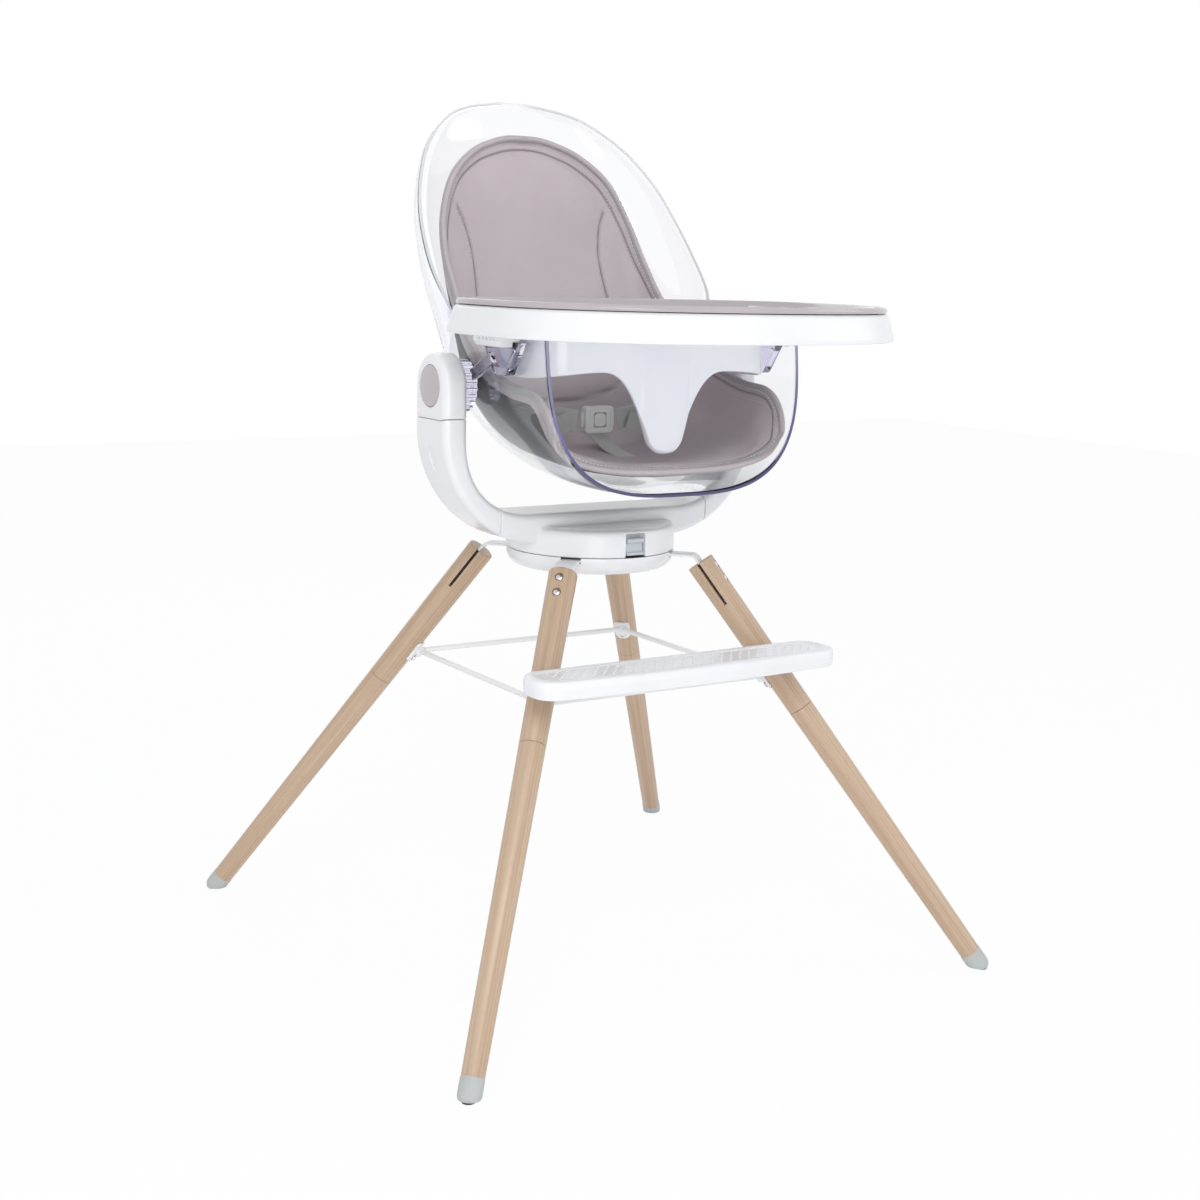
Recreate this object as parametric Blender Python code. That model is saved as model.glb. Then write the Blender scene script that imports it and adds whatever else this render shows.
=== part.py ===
"""Baby high chair: a swivelling, reclining clear bucket seat on four splayed wooden legs.

Frame: metres, +Z up, origin on the floor under the swivel axis, the child faces -Y.
Run with: blender --background --python part.py
"""
import math

import bmesh
import bpy
from mathutils import Matrix, Vector

# ---------------------------------------------------------------- fits
GAP = 0.0003                 # running and seating clearance between touching pieces

# ---------------------------------------------------------------- legs
FOOT_SPREAD = 0.5077         # foot centre to the swivel axis
LEG_TOP_REACH = 0.139        # top of a leg to the swivel axis
LEG_TOP_HEIGHT = 0.4848      # top of a leg above the floor
LEG_TOP_RADIUS = 0.017
LEG_FOOT_RADIUS = 0.0125
LEG_STUD_RADIUS = 0.005
LEG_STUD_LENGTH = 0.024
LEG_SIDES = 20
HOLE_SIDES = 10
CAP_LENGTH = 0.024           # rubber foot cap along the leg
CAP_BELOW = 0.012            # rubber past the leg's end, cut level by the floor
CAP_WALL = 0.0018
GLIDE_RADIUS = 0.0095
GLIDE_HEIGHT = 0.003

# ---------------------------------------------------------------- leg brackets and their screws
BAR_WIDTH = 0.024
BAR_THICKNESS = 0.005
BAR_HEIGHT = LEG_TOP_HEIGHT + 0.0084   # mid height of the level run
BAR_INNER_END = 0.050        # inner end of the bar to the swivel axis
BAR_BEND = 0.009             # bend radius at mid thickness
BAR_TAIL = 0.055             # length inside the leg's slot
SLOT_LENGTH = BAR_TAIL + 0.005
SCREW_DEPTHS = (0.013, 0.0325)   # screws below the top of the leg
SCREW_RADIUS = 0.0025
SCREW_HEAD_RADIUS = 0.0044
SCREW_HEAD_HEIGHT = 0.0026
SCREW_BITE = 0.007           # reach of a screw past the bar

# ---------------------------------------------------------------- stretcher ring
STRETCHER_HEIGHT = LEG_TOP_HEIGHT - 0.1368
ROD_STANDOFF = 0.0022        # rod's centreline outside the leg's surface
ROD_RADIUS = 0.0034
SADDLE_WIDTH = 0.022
SADDLE_ABOVE = 0.012
SADDLE_BELOW = 0.019
SADDLE_SCREW = 0.007         # saddle screw above the plate's lower end
SADDLE_BITE = 0.010          # reach of a saddle screw into the leg
SADDLE_THICKNESS = 0.0022
BOSS_RADIUS = 0.0068
BOSS_LENGTH = 0.0062
LEG_JOINT_HEIGHT = STRETCHER_HEIGHT - 0.036   # where the two halves of a leg screw together

# ---------------------------------------------------------------- footrest
REST_UNDERSIDE = STRETCHER_HEIGHT + 0.0255
REST_TOP = REST_UNDERSIDE + 0.0215
REST_BEYOND = 0.0561         # ends of the board beyond the leg centres
REST_FORWARD = 0.0976        # front edge ahead of the leg centres
REST_BACK = 0.0256           # rear edge ahead of the leg centres
REST_BOW = 0.008             # how far the ends fall back from the front edge
REST_CORNER = 0.026
REST_WALL = 0.003
CLIP_BACK = 0.0076           # leg clips end this far ahead of the leg centres
CLIP_TOP = REST_UNDERSIDE + 0.0115

# ---------------------------------------------------------------- hub
HUB_RADIUS = 0.1035
HUB_BOTTOM = BAR_HEIGHT - 0.0192
HUB_WALL = 0.0032
HUB_BOSS_RADIUS = 0.030
SEAM_HEIGHT = BAR_HEIGHT + 0.0038
SEAM_GAP = 0.0010
BOLT_RADIUS = 0.008
BOLT_HEAD_RADIUS = 0.015
BOLT_HEAD_HEIGHT = 0.005
CLAMP_RADIUS = HUB_RADIUS - 0.0255
CLAMP_THICKNESS = 0.0024

# ---------------------------------------------------------------- seat width
SEAT_HALF_WIDTH = 0.1750     # outside of the clear shell at its sides
RIB_HUB_INNER = SEAT_HALF_WIDTH * 1.017   # the shell widens by this much across the hub

# ---------------------------------------------------------------- yoke
TURRET_RADIUS = HUB_RADIUS + 0.0005
TURRET_WALL = 0.004
TURRET_SHOULDER = SEAM_HEIGHT + 0.032
YOKE_BOTTOM = SEAM_HEIGHT + 0.013
YOKE_TOP = YOKE_BOTTOM + 0.036   # top of the yoke on the centreline
YOKE_HALF_DEPTH = 0.038
YOKE_CORNER = 0.008
PIVOT_HEIGHT = YOKE_BOTTOM + 0.187
ARM_INNER = RIB_HUB_INNER + 0.015
ARM_THICKNESS = 0.031
ARM_OUTER = ARM_INNER + ARM_THICKNESS
ARM_SPLIT = ARM_INNER - 0.045    # where an arm meets the turret
ARM_SEAM_HEIGHT = PIVOT_HEIGHT - 0.036   # where the head cover meets the arm
ARM_BEND_HEIGHT = PIVOT_HEIGHT - 0.049
ARM_INNER_BEND = PIVOT_HEIGHT - 0.057
ARM_OUTER_CENTRE = ARM_OUTER - 0.134
ARM_INNER_CENTRE = ARM_INNER - 0.093

# ---------------------------------------------------------------- recline pivot
HEAD_RADIUS = YOKE_HALF_DEPTH
BUTTON_RADIUS = 0.024
BUTTON_DEPTH = 0.0085
BUTTON_PROUD = 0.0012
BUTTON_TRAVEL = 0.004
AXLE_RADIUS = 0.012
AXLE_LENGTH = 0.011          # reach of the axle into the arm head
RIB_HUB_RADIUS = 0.031
RIB_HUB_GAP = 0.0006         # running gap between the ribbed hub and the arm head
RIB_COUNT = 22
RIB_DEPTH = 0.0016

# ---------------------------------------------------------------- swivel latch
LATCH_WIDTH = 0.024
LATCH_LOW = SEAM_HEIGHT + 0.003
LATCH_HIGH = LATCH_LOW + 0.020
LATCH_TRAVEL = 0.005
LATCH_DEPTH = 0.010

# ---------------------------------------------------------------- clear shell
SHELL_WALL = 0.0036
SHELL_RIBS = 21
SHELL_STEPS = 12
# each station: rim point (y, z), spine point (y, z), half width at the rim, squareness, side bulge;
# z is measured from the recline pivot, and the half width is a share of the seat's
SHELL_STATIONS = (
    (-0.173, 0.0545, -0.195, -0.115, 0.994, 3.1, 0.000),
    (-0.100, 0.0545, -0.100, -0.115, 1.000, 3.0, 0.000),
    (-0.030, 0.0550, 0.000, -0.101, 1.003, 2.8, 0.000),
    (0.012, 0.073, 0.076, -0.061, 1.046, 2.5, 0.000),
    (0.036, 0.111, 0.120, 0.001, 1.109, 2.1, 0.000),
    (0.067, 0.150, 0.156, 0.068, 1.114, 2.0, 0.001),
    (0.103, 0.200, 0.186, 0.145, 1.069, 2.0, 0.002),
    (0.132, 0.246, 0.204, 0.215, 0.977, 2.0, 0.002),
    (0.162, 0.288, 0.214, 0.271, 0.823, 2.0, 0.001),
    (0.188, 0.320, 0.216, 0.312, 0.600, 2.0, 0.000),
    (0.200, 0.334, 0.214, 0.331, 0.400, 2.0, 0.000),
    (0.208, 0.342, 0.212, 0.341, 0.126, 2.0, 0.000),
)
POST_TOP = PIVOT_HEIGHT + 0.0555     # top of the armrest post that carries the tray
POST_BOTTOM = PIVOT_HEIGHT + 0.018
POST_FRONT = -0.136
POST_REAR = -0.054
POST_TAPER = 0.026
POST_INNER = SEAT_HALF_WIDTH + GAP
POST_OUTER = SEAT_HALF_WIDTH + 0.011
BRACE_HALF = 0.007           # half height of the brace from the ribbed hub to the post
BRACE_OUTER = POST_OUTER - 0.002

# ---------------------------------------------------------------- seat pad
PAD_THICKNESS = 0.0100
PAD_RIBS = 15
PAD_STEPS = 9
# each station: edge point (y, z), spine point (y, z), share of the room in the shell, squareness
PAD_STATIONS = (
    (-0.150, 0.000, -0.178, -0.083, 0.970, 2.6),
    (-0.090, 0.005, -0.100, -0.088, 0.970, 2.6),
    (-0.020, 0.025, -0.010, -0.081, 0.964, 2.6),
    (0.038, 0.063, 0.058, -0.057, 0.932, 2.4),
    (0.080, 0.106, 0.098, 0.018, 0.888, 2.3),
    (0.114, 0.151, 0.130, 0.103, 0.862, 2.2),
    (0.137, 0.198, 0.155, 0.178, 0.806, 2.1),
    (0.154, 0.243, 0.172, 0.241, 0.675, 2.0),
    (0.169, 0.273, 0.178, 0.273, 0.465, 2.0),
    (0.176, 0.287, 0.178, 0.287, 0.232, 2.0),
)
PAD_ROOM = SEAT_HALF_WIDTH - SHELL_WALL - PAD_THICKNESS

# ---------------------------------------------------------------- tray
TRAY_HALF_WIDTH = SEAT_HALF_WIDTH + 0.076
TRAY_CENTRE = -0.190         # widest line of the tray
TRAY_FRONT = -0.371
TRAY_REAR = -0.012
TRAY_LOW = PIVOT_HEIGHT + 0.064
TRAY_RIM = TRAY_LOW + 0.032
TRAY_FLARE = 0.008
TRAY_FLOOR = TRAY_LOW + 0.013
TRAY_WALL = 0.003
TRAY_STEPS = 11              # outline points in each quarter
FRONT_SQUARENESS = 2.25      # of the tray's outline ahead of its widest line
REAR_SQUARENESS = 4.5
SIDE_SQUARENESS = 4.0
INSERT_RIM = TRAY_RIM + 0.0075
INSERT_SKIN = 0.0022
CUP_RADIUS = 0.037
CUP_X = TRAY_HALF_WIDTH - 0.081
CUP_Y = -0.150
CUP_DEPTH = 0.0035

# ---------------------------------------------------------------- tray apron and crotch post
APRON_FRONT = -0.1500
APRON_HALF_WIDTH = SEAT_HALF_WIDTH - 0.015
APRON_WALL = 0.0030
APRON_CORNER = 0.045
APRON_REAR = -0.062
APRON_EDGE = PIVOT_HEIGHT + 0.0155
APRON_LOBE = PIVOT_HEIGHT + 0.023
LOBE_CENTRE = 0.085          # highest point of a leg lobe to the centreline
CROTCH_LOW = PIVOT_HEIGHT - 0.068
CROTCH_HALF_WIDTH = 0.0230
CROTCH_ROUND = 0.012         # how far the post's corners rise above its lowest point

# ---------------------------------------------------------------- tray latches
TLATCH_INNER = SEAT_HALF_WIDTH + 0.0035
TLATCH_OUTER = SEAT_HALF_WIDTH + 0.0305
TLATCH_LOW = POST_TOP - 0.0052       # finger edge, outside the post
TLATCH_CLEAR = 0.0008                # room between a latch and the post's top
TLATCH_HOOK = POST_OUTER + 0.0016    # inner face of the finger edge

# ---------------------------------------------------------------- harness
WEB_WIDTH = 0.025
WEB_THICKNESS = 0.0018
BUCKLE_Y = -0.010
BUCKLE_Z = PIVOT_HEIGHT - 0.043
BUCKLE_HALF_WIDTH = 0.020
BUCKLE_HALF_HEIGHT = 0.0165
BUCKLE_HALF_DEPTH = 0.0065
KEY_HALF = 0.0085
KEY_DEPTH = 0.0035
KEY_PROUD = 0.0006
KEY_TRAVEL = 0.002
TONGUE_LENGTH = 0.013
PLUG_HALF_HEIGHT = 0.009     # of the tongue's plug inside the buckle
PLUG_HALF_THICKNESS = 0.0016
PLUG_DEPTH = 0.0055
STRAP_SLOT_Y = -0.132        # where the crotch strap leaves the pad
STRAP_REACH = SEAT_HALF_WIDTH * 0.668    # where the waist strap meets the pad

# ---------------------------------------------------------------- colours
WHITE = (0.90, 0.91, 0.92)
BEECH = (0.62, 0.42, 0.26)
MAUVE = (0.45, 0.39, 0.41)
GREY = (0.45, 0.48, 0.47)
STEEL = (0.72, 0.72, 0.72)
CLEAR = (0.93, 0.93, 0.98)
WEBBING = (0.52, 0.54, 0.53)


# ================================================================ helpers
def clear_scene():
    for item in list(bpy.data.objects):
        bpy.data.objects.remove(item, do_unlink=True)


def material(name, colour, roughness, metallic=0.0, alpha=1.0):
    made = bpy.data.materials.new(name)
    made.use_nodes = True
    shader = made.node_tree.nodes["Principled BSDF"]
    shader.inputs["Base Color"].default_value = (*colour, 1.0)
    shader.inputs["Roughness"].default_value = roughness
    shader.inputs["Metallic"].default_value = metallic
    shader.inputs["Alpha"].default_value = alpha
    made.diffuse_color = (*colour, alpha)
    return made


def solid(name, build, look=None):
    """An object from a bmesh whose faces are turned outward and shaded smooth with sharp edges."""
    bmesh.ops.recalc_face_normals(build, faces=build.faces)
    mesh = bpy.data.meshes.new(name)
    build.to_mesh(mesh)
    build.free()
    mesh.shade_smooth()
    mesh.set_sharp_from_angle(angle=math.radians(35))
    made = bpy.data.objects.new(name, mesh)
    bpy.context.scene.collection.objects.link(made)
    if look:
        mesh.materials.append(look)
    return made


def loft(rings, look=None, name="piece", wrap=False):
    """Skins equal rings of points; the two ends are filled unless the last ring joins the first."""
    build = bmesh.new()
    rows = [[build.verts.new(point) for point in ring] for ring in rings]
    size = len(rows[0])
    spans = len(rows) if wrap else len(rows) - 1
    for row in range(spans):
        lower = rows[row]
        upper = rows[(row + 1) % len(rows)]
        for side in range(size):
            after = (side + 1) % size
            build.faces.new((lower[side], lower[after], upper[after], upper[side]))
    if not wrap:
        build.faces.new(list(reversed(rows[0])))
        build.faces.new(rows[-1])
    return solid(name, build, look)


def lathe(profile, sides=LEG_SIDES, look=None, name="turned"):
    """Turns (radius, height) points about Z; points on the axis become poles."""
    build = bmesh.new()
    rows = []
    for radius, height in profile:
        count = sides if radius > 0 else 1
        angles = [2 * math.pi * step / sides for step in range(count)]
        rows.append([build.verts.new((radius * math.cos(a), radius * math.sin(a), height)) for a in angles])
    ends_on_axis = len(rows[0]) == 1 and len(rows[-1]) == 1
    spans = len(rows) - 1 if ends_on_axis else len(rows)
    for row in range(spans):
        lower = rows[row]
        upper = rows[(row + 1) % len(rows)]
        for side in range(sides):
            after = (side + 1) % sides
            corners = [lower[side % len(lower)], lower[after % len(lower)]]
            corners += [upper[after % len(upper)], upper[side % len(upper)]]
            build.faces.new(list(dict.fromkeys(corners)))
    return solid(name, build, look)


def prism(outline, low, high, axis="Z", look=None, name="prism"):
    """Extrudes a flat outline from low to high along an axis."""
    order = {"Z": lambda u, v, w: (u, v, w), "Y": lambda u, v, w: (u, w, v), "X": lambda u, v, w: (w, u, v)}
    put = order[axis]
    return loft([[put(u, v, level) for u, v in outline] for level in (low, high)], look, name)


def box(low, high, look=None, name="box"):
    outline = [(low[0], low[1]), (high[0], low[1]), (high[0], high[1]), (low[0], high[1])]
    return prism(outline, low[2], high[2], look=look, name=name)


def rounded_box(low, high, radius, look=None, name="box", steps=2):
    made = box(low, high, look, name)
    soften(made, radius, steps)
    return baked(made)


def soften(target, width, steps=2, angle=40):
    bevel = target.modifiers.new("soft_edges", "BEVEL")
    bevel.width = width
    bevel.segments = steps
    bevel.limit_method = "ANGLE"
    bevel.angle_limit = math.radians(angle)


def baked(target):
    """Replaces an object's mesh by its evaluated one, so that it can be shared or cut again."""
    bpy.context.view_layer.update()
    graph = bpy.context.evaluated_depsgraph_get()
    mesh = bpy.data.meshes.new_from_object(target.evaluated_get(graph))
    target.modifiers.clear()
    target.data = mesh
    return target


def combine(target, tool, operation):
    """Cuts, joins or intersects the target with a tool, which is then removed."""
    step = target.modifiers.new(operation.lower(), "BOOLEAN")
    step.operation = operation
    step.object = tool
    step.solver = "EXACT"
    baked(target)
    bpy.data.objects.remove(tool, do_unlink=True)
    target.data.shade_smooth()
    target.data.set_sharp_from_angle(angle=math.radians(35))
    return target


def cut(target, *tools):
    for tool in tools:
        combine(target, tool, "DIFFERENCE")
    return target


def fuse(target, *tools):
    for tool in tools:
        combine(target, tool, "UNION")
    return target


def moved(target, matrix):
    target.data.transform(matrix)
    if matrix.to_3x3().determinant() < 0:
        target.data.flip_normals()
    return target


def finish(target, name, look, carrier=None, origin=(0, 0, 0)):
    """Names a piece, gives it its material, and puts its origin where its joint is."""
    target.name = name
    target.data.name = name
    target.data.materials.clear()
    target.data.materials.append(look)
    origin = Vector(origin)
    target.data.transform(Matrix.Translation(-origin))
    target.location = origin
    if carrier:
        target.parent = carrier
        target.location = origin - carrier_place(carrier)
    return target


def carrier_place(carrier):
    place = Vector(carrier.location)
    if carrier.parent:
        place += carrier_place(carrier.parent)
    return place


def axis_empty(name, place, carrier=None):
    made = bpy.data.objects.new(name, None)
    made.empty_display_size = 0.05
    bpy.context.scene.collection.objects.link(made)
    made.location = Vector(place)
    if carrier:
        made.parent = carrier
        made.location = Vector(place) - carrier_place(carrier)
    return made


def cylinder_between(start, end, radius, sides=12, name="rod"):
    """Rod or hole cutter, turned half a side so that its corners miss the planes of symmetry."""
    start = Vector(start)
    end = Vector(end)
    length = (end - start).length
    made = lathe([(0, 0), (radius, 0), (radius, length), (0, length)], sides, name=name)
    turn = Vector((0, 0, 1)).rotation_difference(end - start).to_matrix().to_4x4()
    half_side = Matrix.Rotation(math.pi / sides, 4, "Z")
    return moved(made, Matrix.Translation(start) @ turn @ half_side)


def spline(rows, count):
    """Catmull-Rom curve through equal rows of numbers, read at count even steps."""
    rows = [tuple(row) for row in rows]
    first = tuple(2 * a - b for a, b in zip(rows[0], rows[1]))
    last = tuple(2 * a - b for a, b in zip(rows[-1], rows[-2]))
    padded = [first] + rows + [last]
    result = []
    for step in range(count):
        place = step / (count - 1) * (len(rows) - 1)
        span = min(int(place), len(rows) - 2)
        t = place - span
        values = []
        for a, b, c, d in zip(*padded[span:span + 4]):
            linear = c - a
            square = 2 * a - 5 * b + 4 * c - d
            cube = 3 * b - a - 3 * c + d
            values.append(0.5 * (2 * b + linear * t + square * t ** 2 + cube * t ** 3))
        result.append(tuple(values))
    return result


def power(value, exponent):
    return math.copysign(abs(value) ** exponent, value)


def mirrored_pair(make, side):
    """side is -1 for the left piece (x < 0) and +1 for the right one."""
    made = make()
    if side < 0:
        moved(made, Matrix.Scale(-1, 4, (1, 0, 0)))
    return made


# ================================================================ legs
LEG_RUN = FOOT_SPREAD - LEG_TOP_REACH
LEG_LENGTH = math.hypot(LEG_RUN, LEG_TOP_HEIGHT)
LEG_TILT = math.atan2(LEG_RUN, LEG_TOP_HEIGHT)
LEG_FRAME = Matrix.Translation((FOOT_SPREAD, 0, 0)) @ Matrix.Rotation(-LEG_TILT, 4, "Y")
QUARTERS = {"rear_right": 45, "rear_left": 135, "front_left": 225, "front_right": 315}


def leg_radius(along):
    return LEG_FOOT_RADIUS + (LEG_TOP_RADIUS - LEG_FOOT_RADIUS) * along / LEG_LENGTH


def along_leg(height):
    """Distance from the floor along the leg's centreline at a height."""
    return height / math.cos(LEG_TILT)


JOINT_ALONG = along_leg(LEG_JOINT_HEIGHT)
SPIGOT_RADIUS = LEG_FOOT_RADIUS - CAP_WALL
SPIGOT_LENGTH = CAP_LENGTH / 2


def leg_lower():
    cap_seat = CAP_LENGTH
    spigot_end = cap_seat - SPIGOT_LENGTH
    top = JOINT_ALONG - GAP / 2
    bore_radius = LEG_STUD_RADIUS + GAP
    bore_end = top - LEG_STUD_LENGTH - GAP
    profile = [
        (0, spigot_end), (SPIGOT_RADIUS, spigot_end), (SPIGOT_RADIUS, cap_seat + GAP),
        (leg_radius(cap_seat), cap_seat + GAP), (leg_radius(top), top),
        (bore_radius, top), (bore_radius, bore_end), (0, bore_end),
    ]
    return moved(lathe(profile), LEG_FRAME)


def leg_upper():
    low = JOINT_ALONG + GAP / 2
    edge = 0.0015
    profile = [
        (0, low - LEG_STUD_LENGTH), (LEG_STUD_RADIUS, low - LEG_STUD_LENGTH), (LEG_STUD_RADIUS, low),
        (leg_radius(low), low), (leg_radius(LEG_LENGTH) - 0.0001, LEG_LENGTH - edge),
        (leg_radius(LEG_LENGTH) - edge, LEG_LENGTH), (0, LEG_LENGTH),
    ]
    leg = lathe(profile)
    half_slot = BAR_THICKNESS / 2 + GAP
    width = LEG_TOP_RADIUS * 1.5
    slot = box((-half_slot, -width, LEG_LENGTH - SLOT_LENGTH), (half_slot, width, LEG_LENGTH + 0.01))
    cut(leg, slot)
    for depth in SCREW_DEPTHS:
        along = LEG_LENGTH - depth
        face = leg_radius(along)
        end = -BAR_THICKNESS / 2 - SCREW_BITE - GAP
        hole = cylinder_between((face + 0.01, 0, along), (end, 0, along), SCREW_RADIUS + GAP, HOLE_SIDES)
        sink = cylinder_between(
            (face + 0.01, 0, along),
            (face - SCREW_HEAD_HEIGHT - 0.0008, 0, along),
            SCREW_HEAD_RADIUS + GAP, HOLE_SIDES + 2)
        cut(leg, hole, sink)
    return moved(leg, LEG_FRAME)


def screw_profile(shank):
    top = shank + SCREW_HEAD_HEIGHT
    return [
        (0, 0), (SCREW_RADIUS, 0), (SCREW_RADIUS, shank), (SCREW_HEAD_RADIUS, shank),
        (SCREW_HEAD_RADIUS, shank + SCREW_HEAD_HEIGHT * 0.45), (SCREW_HEAD_RADIUS * 0.6, top), (0, top),
    ]


def leg_screw(depth):
    along = LEG_LENGTH - depth
    under_head = leg_radius(along) - SCREW_HEAD_HEIGHT - 0.0005
    end = -BAR_THICKNESS / 2 - SCREW_BITE
    shank = under_head - end
    screw = lathe(screw_profile(shank), HOLE_SIDES)
    place = Matrix.Translation((end, 0, along)) @ Matrix.Rotation(math.radians(90), 4, "Y")
    return moved(screw, LEG_FRAME @ place)


def foot_cap():
    """Rubber cap round the leg's end, fused with the flat glide that it stands on."""
    outer = LEG_FOOT_RADIUS + GAP
    inner = SPIGOT_RADIUS + GAP
    floor_end = CAP_LENGTH - SPIGOT_LENGTH - GAP
    profile = [
        (0, -CAP_BELOW), (outer * 0.8, -CAP_BELOW), (outer, -CAP_BELOW / 3), (outer, CAP_LENGTH),
        (inner, CAP_LENGTH), (inner, floor_end), (0, floor_end),
    ]
    cap = moved(lathe(profile, 20), LEG_FRAME)
    below = 0.05
    keep_low = GLIDE_HEIGHT - 0.0005
    floor = box((FOOT_SPREAD - below, -below, keep_low - below), (FOOT_SPREAD + below, below, keep_low))
    cut(cap, floor)
    glide = lathe([(0, 0), (GLIDE_RADIUS, 0), (GLIDE_RADIUS, GLIDE_HEIGHT), (0, GLIDE_HEIGHT)], 16)
    moved(glide, Matrix.Translation((FOOT_SPREAD, 0, 0)))
    return fuse(cap, glide)


def leg_bracket():
    """Flat bar: level from the hub, bent down along the leg inside its slot."""
    rise = (BAR_HEIGHT - LEG_TOP_HEIGHT) / math.cos(LEG_TILT)
    bend = Vector((LEG_TOP_REACH - rise * math.sin(LEG_TILT), BAR_HEIGHT))
    down = Vector((math.sin(LEG_TILT), -math.cos(LEG_TILT)))
    radius = BAR_BEND
    reach = radius * math.tan((math.pi / 2 - LEG_TILT) / 2)
    centre = Vector((bend.x - reach, BAR_HEIGHT - radius))
    route = [(Vector((BAR_INNER_END, BAR_HEIGHT)), Vector((0, 1)))]
    steps = 5
    for step in range(steps + 1):
        angle = math.radians(90) - (math.pi / 2 - LEG_TILT) * step / steps
        normal = Vector((math.cos(angle), math.sin(angle)))
        route.append((centre + normal * radius, normal))
    tail = bend + down * (BAR_TAIL + rise)
    route.append((tail, Vector((math.cos(LEG_TILT), math.sin(LEG_TILT)))))
    half = BAR_THICKNESS / 2
    upper = [point + normal * half for point, normal in route]
    lower = [point - normal * half for point, normal in reversed(route)]
    outline = [(point.x, point.y) for point in upper + lower]
    bar = prism(outline, -BAR_WIDTH / 2, BAR_WIDTH / 2, axis="Y")
    for depth in SCREW_DEPTHS:
        along = LEG_LENGTH - depth
        hole = cylinder_between((-0.01, 0, along), (0.01, 0, along), SCREW_RADIUS + GAP, HOLE_SIDES)
        cut(bar, moved(hole, LEG_FRAME))
    return bar


# ================================================================ stretcher ring and footrest
def leg_reach(height):
    """Distance of a leg's centreline from the swivel axis at a height."""
    return FOOT_SPREAD - LEG_RUN * height / LEG_TOP_HEIGHT


STRETCHER_INSET = (leg_radius(along_leg(STRETCHER_HEIGHT)) + ROD_STANDOFF) / math.cos(LEG_TILT)
RING_CORNER = Vector((leg_reach(STRETCHER_HEIGHT) - STRETCHER_INSET, 0, STRETCHER_HEIGHT))
STRETCHER_ALONG = (LEG_FRAME.inverted() @ RING_CORNER).z


def saddle_offset():
    """Inner radius of the saddle plate about the leg's centreline."""
    return leg_radius(STRETCHER_ALONG + SADDLE_ABOVE) + GAP


def stretcher():
    """One rod of the ring with the saddle plate and boss that it is welded to."""
    inner = saddle_offset()
    outer = inner + SADDLE_THICKNESS
    half_angle = math.asin(SADDLE_WIDTH / 2 / outer)
    steps = 8
    angles = [math.pi - half_angle + 2 * half_angle * step / steps for step in range(steps + 1)]
    outline = [(outer * math.cos(a), outer * math.sin(a)) for a in angles]
    outline += [(inner * math.cos(a), inner * math.sin(a)) for a in reversed(angles)]
    low = STRETCHER_ALONG - SADDLE_BELOW
    high = STRETCHER_ALONG + SADDLE_ABOVE
    plate = prism(outline, low, high)
    hole_along = low + SADDLE_SCREW
    hole = cylinder_between((0, 0, hole_along), (-0.05, 0, hole_along), SCREW_RADIUS + GAP, HOLE_SIDES)
    cut(plate, hole)
    moved(plate, LEG_FRAME)
    corner = RING_CORNER
    inward = (Matrix.Rotation(-LEG_TILT, 4, "Y") @ Vector((-1, 0, 0))).normalized()
    axis_point = LEG_FRAME @ Vector((0, 0, STRETCHER_ALONG))
    boss_start = axis_point + inward * (inner + SADDLE_THICKNESS * 0.4)
    boss_end = axis_point + inward * (inner + SADDLE_THICKNESS + BOSS_LENGTH)
    boss = cylinder_between(boss_start, boss_end, BOSS_RADIUS, 14)
    next_corner = Matrix.Rotation(math.radians(90), 4, "Z") @ corner
    run = (next_corner - corner).normalized()
    start = corner + run * ROD_RADIUS * 0.6
    end = next_corner - run * (BOSS_RADIUS * 1.42 + GAP * 3)
    rod = cylinder_between(start, end, ROD_RADIUS, 10)
    return fuse(plate, boss, rod)


def saddle_screw():
    inner = saddle_offset()
    along = STRETCHER_ALONG - SADDLE_BELOW + SADDLE_SCREW
    under_head = inner + SADDLE_THICKNESS + GAP * 2
    tip = inner - SADDLE_BITE
    shank = under_head - tip
    screw = lathe(screw_profile(shank), HOLE_SIDES)
    place = Matrix.Translation((-tip, 0, along)) @ Matrix.Rotation(math.radians(-90), 4, "Y")
    return moved(screw, LEG_FRAME @ place)


def drill_saddle_screw(leg):
    """Pilot hole of the saddle screw in the upper leg half."""
    inner = saddle_offset()
    along = STRETCHER_ALONG - SADDLE_BELOW + SADDLE_SCREW
    end = inner - SADDLE_BITE - 2 * GAP
    hole = cylinder_between((-end, 0, along), (-0.05, 0, along), SCREW_RADIUS + GAP, HOLE_SIDES)
    return cut(leg, moved(hole, LEG_FRAME))


REST_LEG = leg_reach((REST_UNDERSIDE + REST_TOP) / 2) * math.sqrt(0.5)
REST_FRONT = -(REST_LEG + REST_FORWARD)   # front edge on the centreline
REST_REAR = -(REST_LEG + REST_BACK)
REST_HALF_LENGTH = REST_LEG + REST_BEYOND


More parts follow.
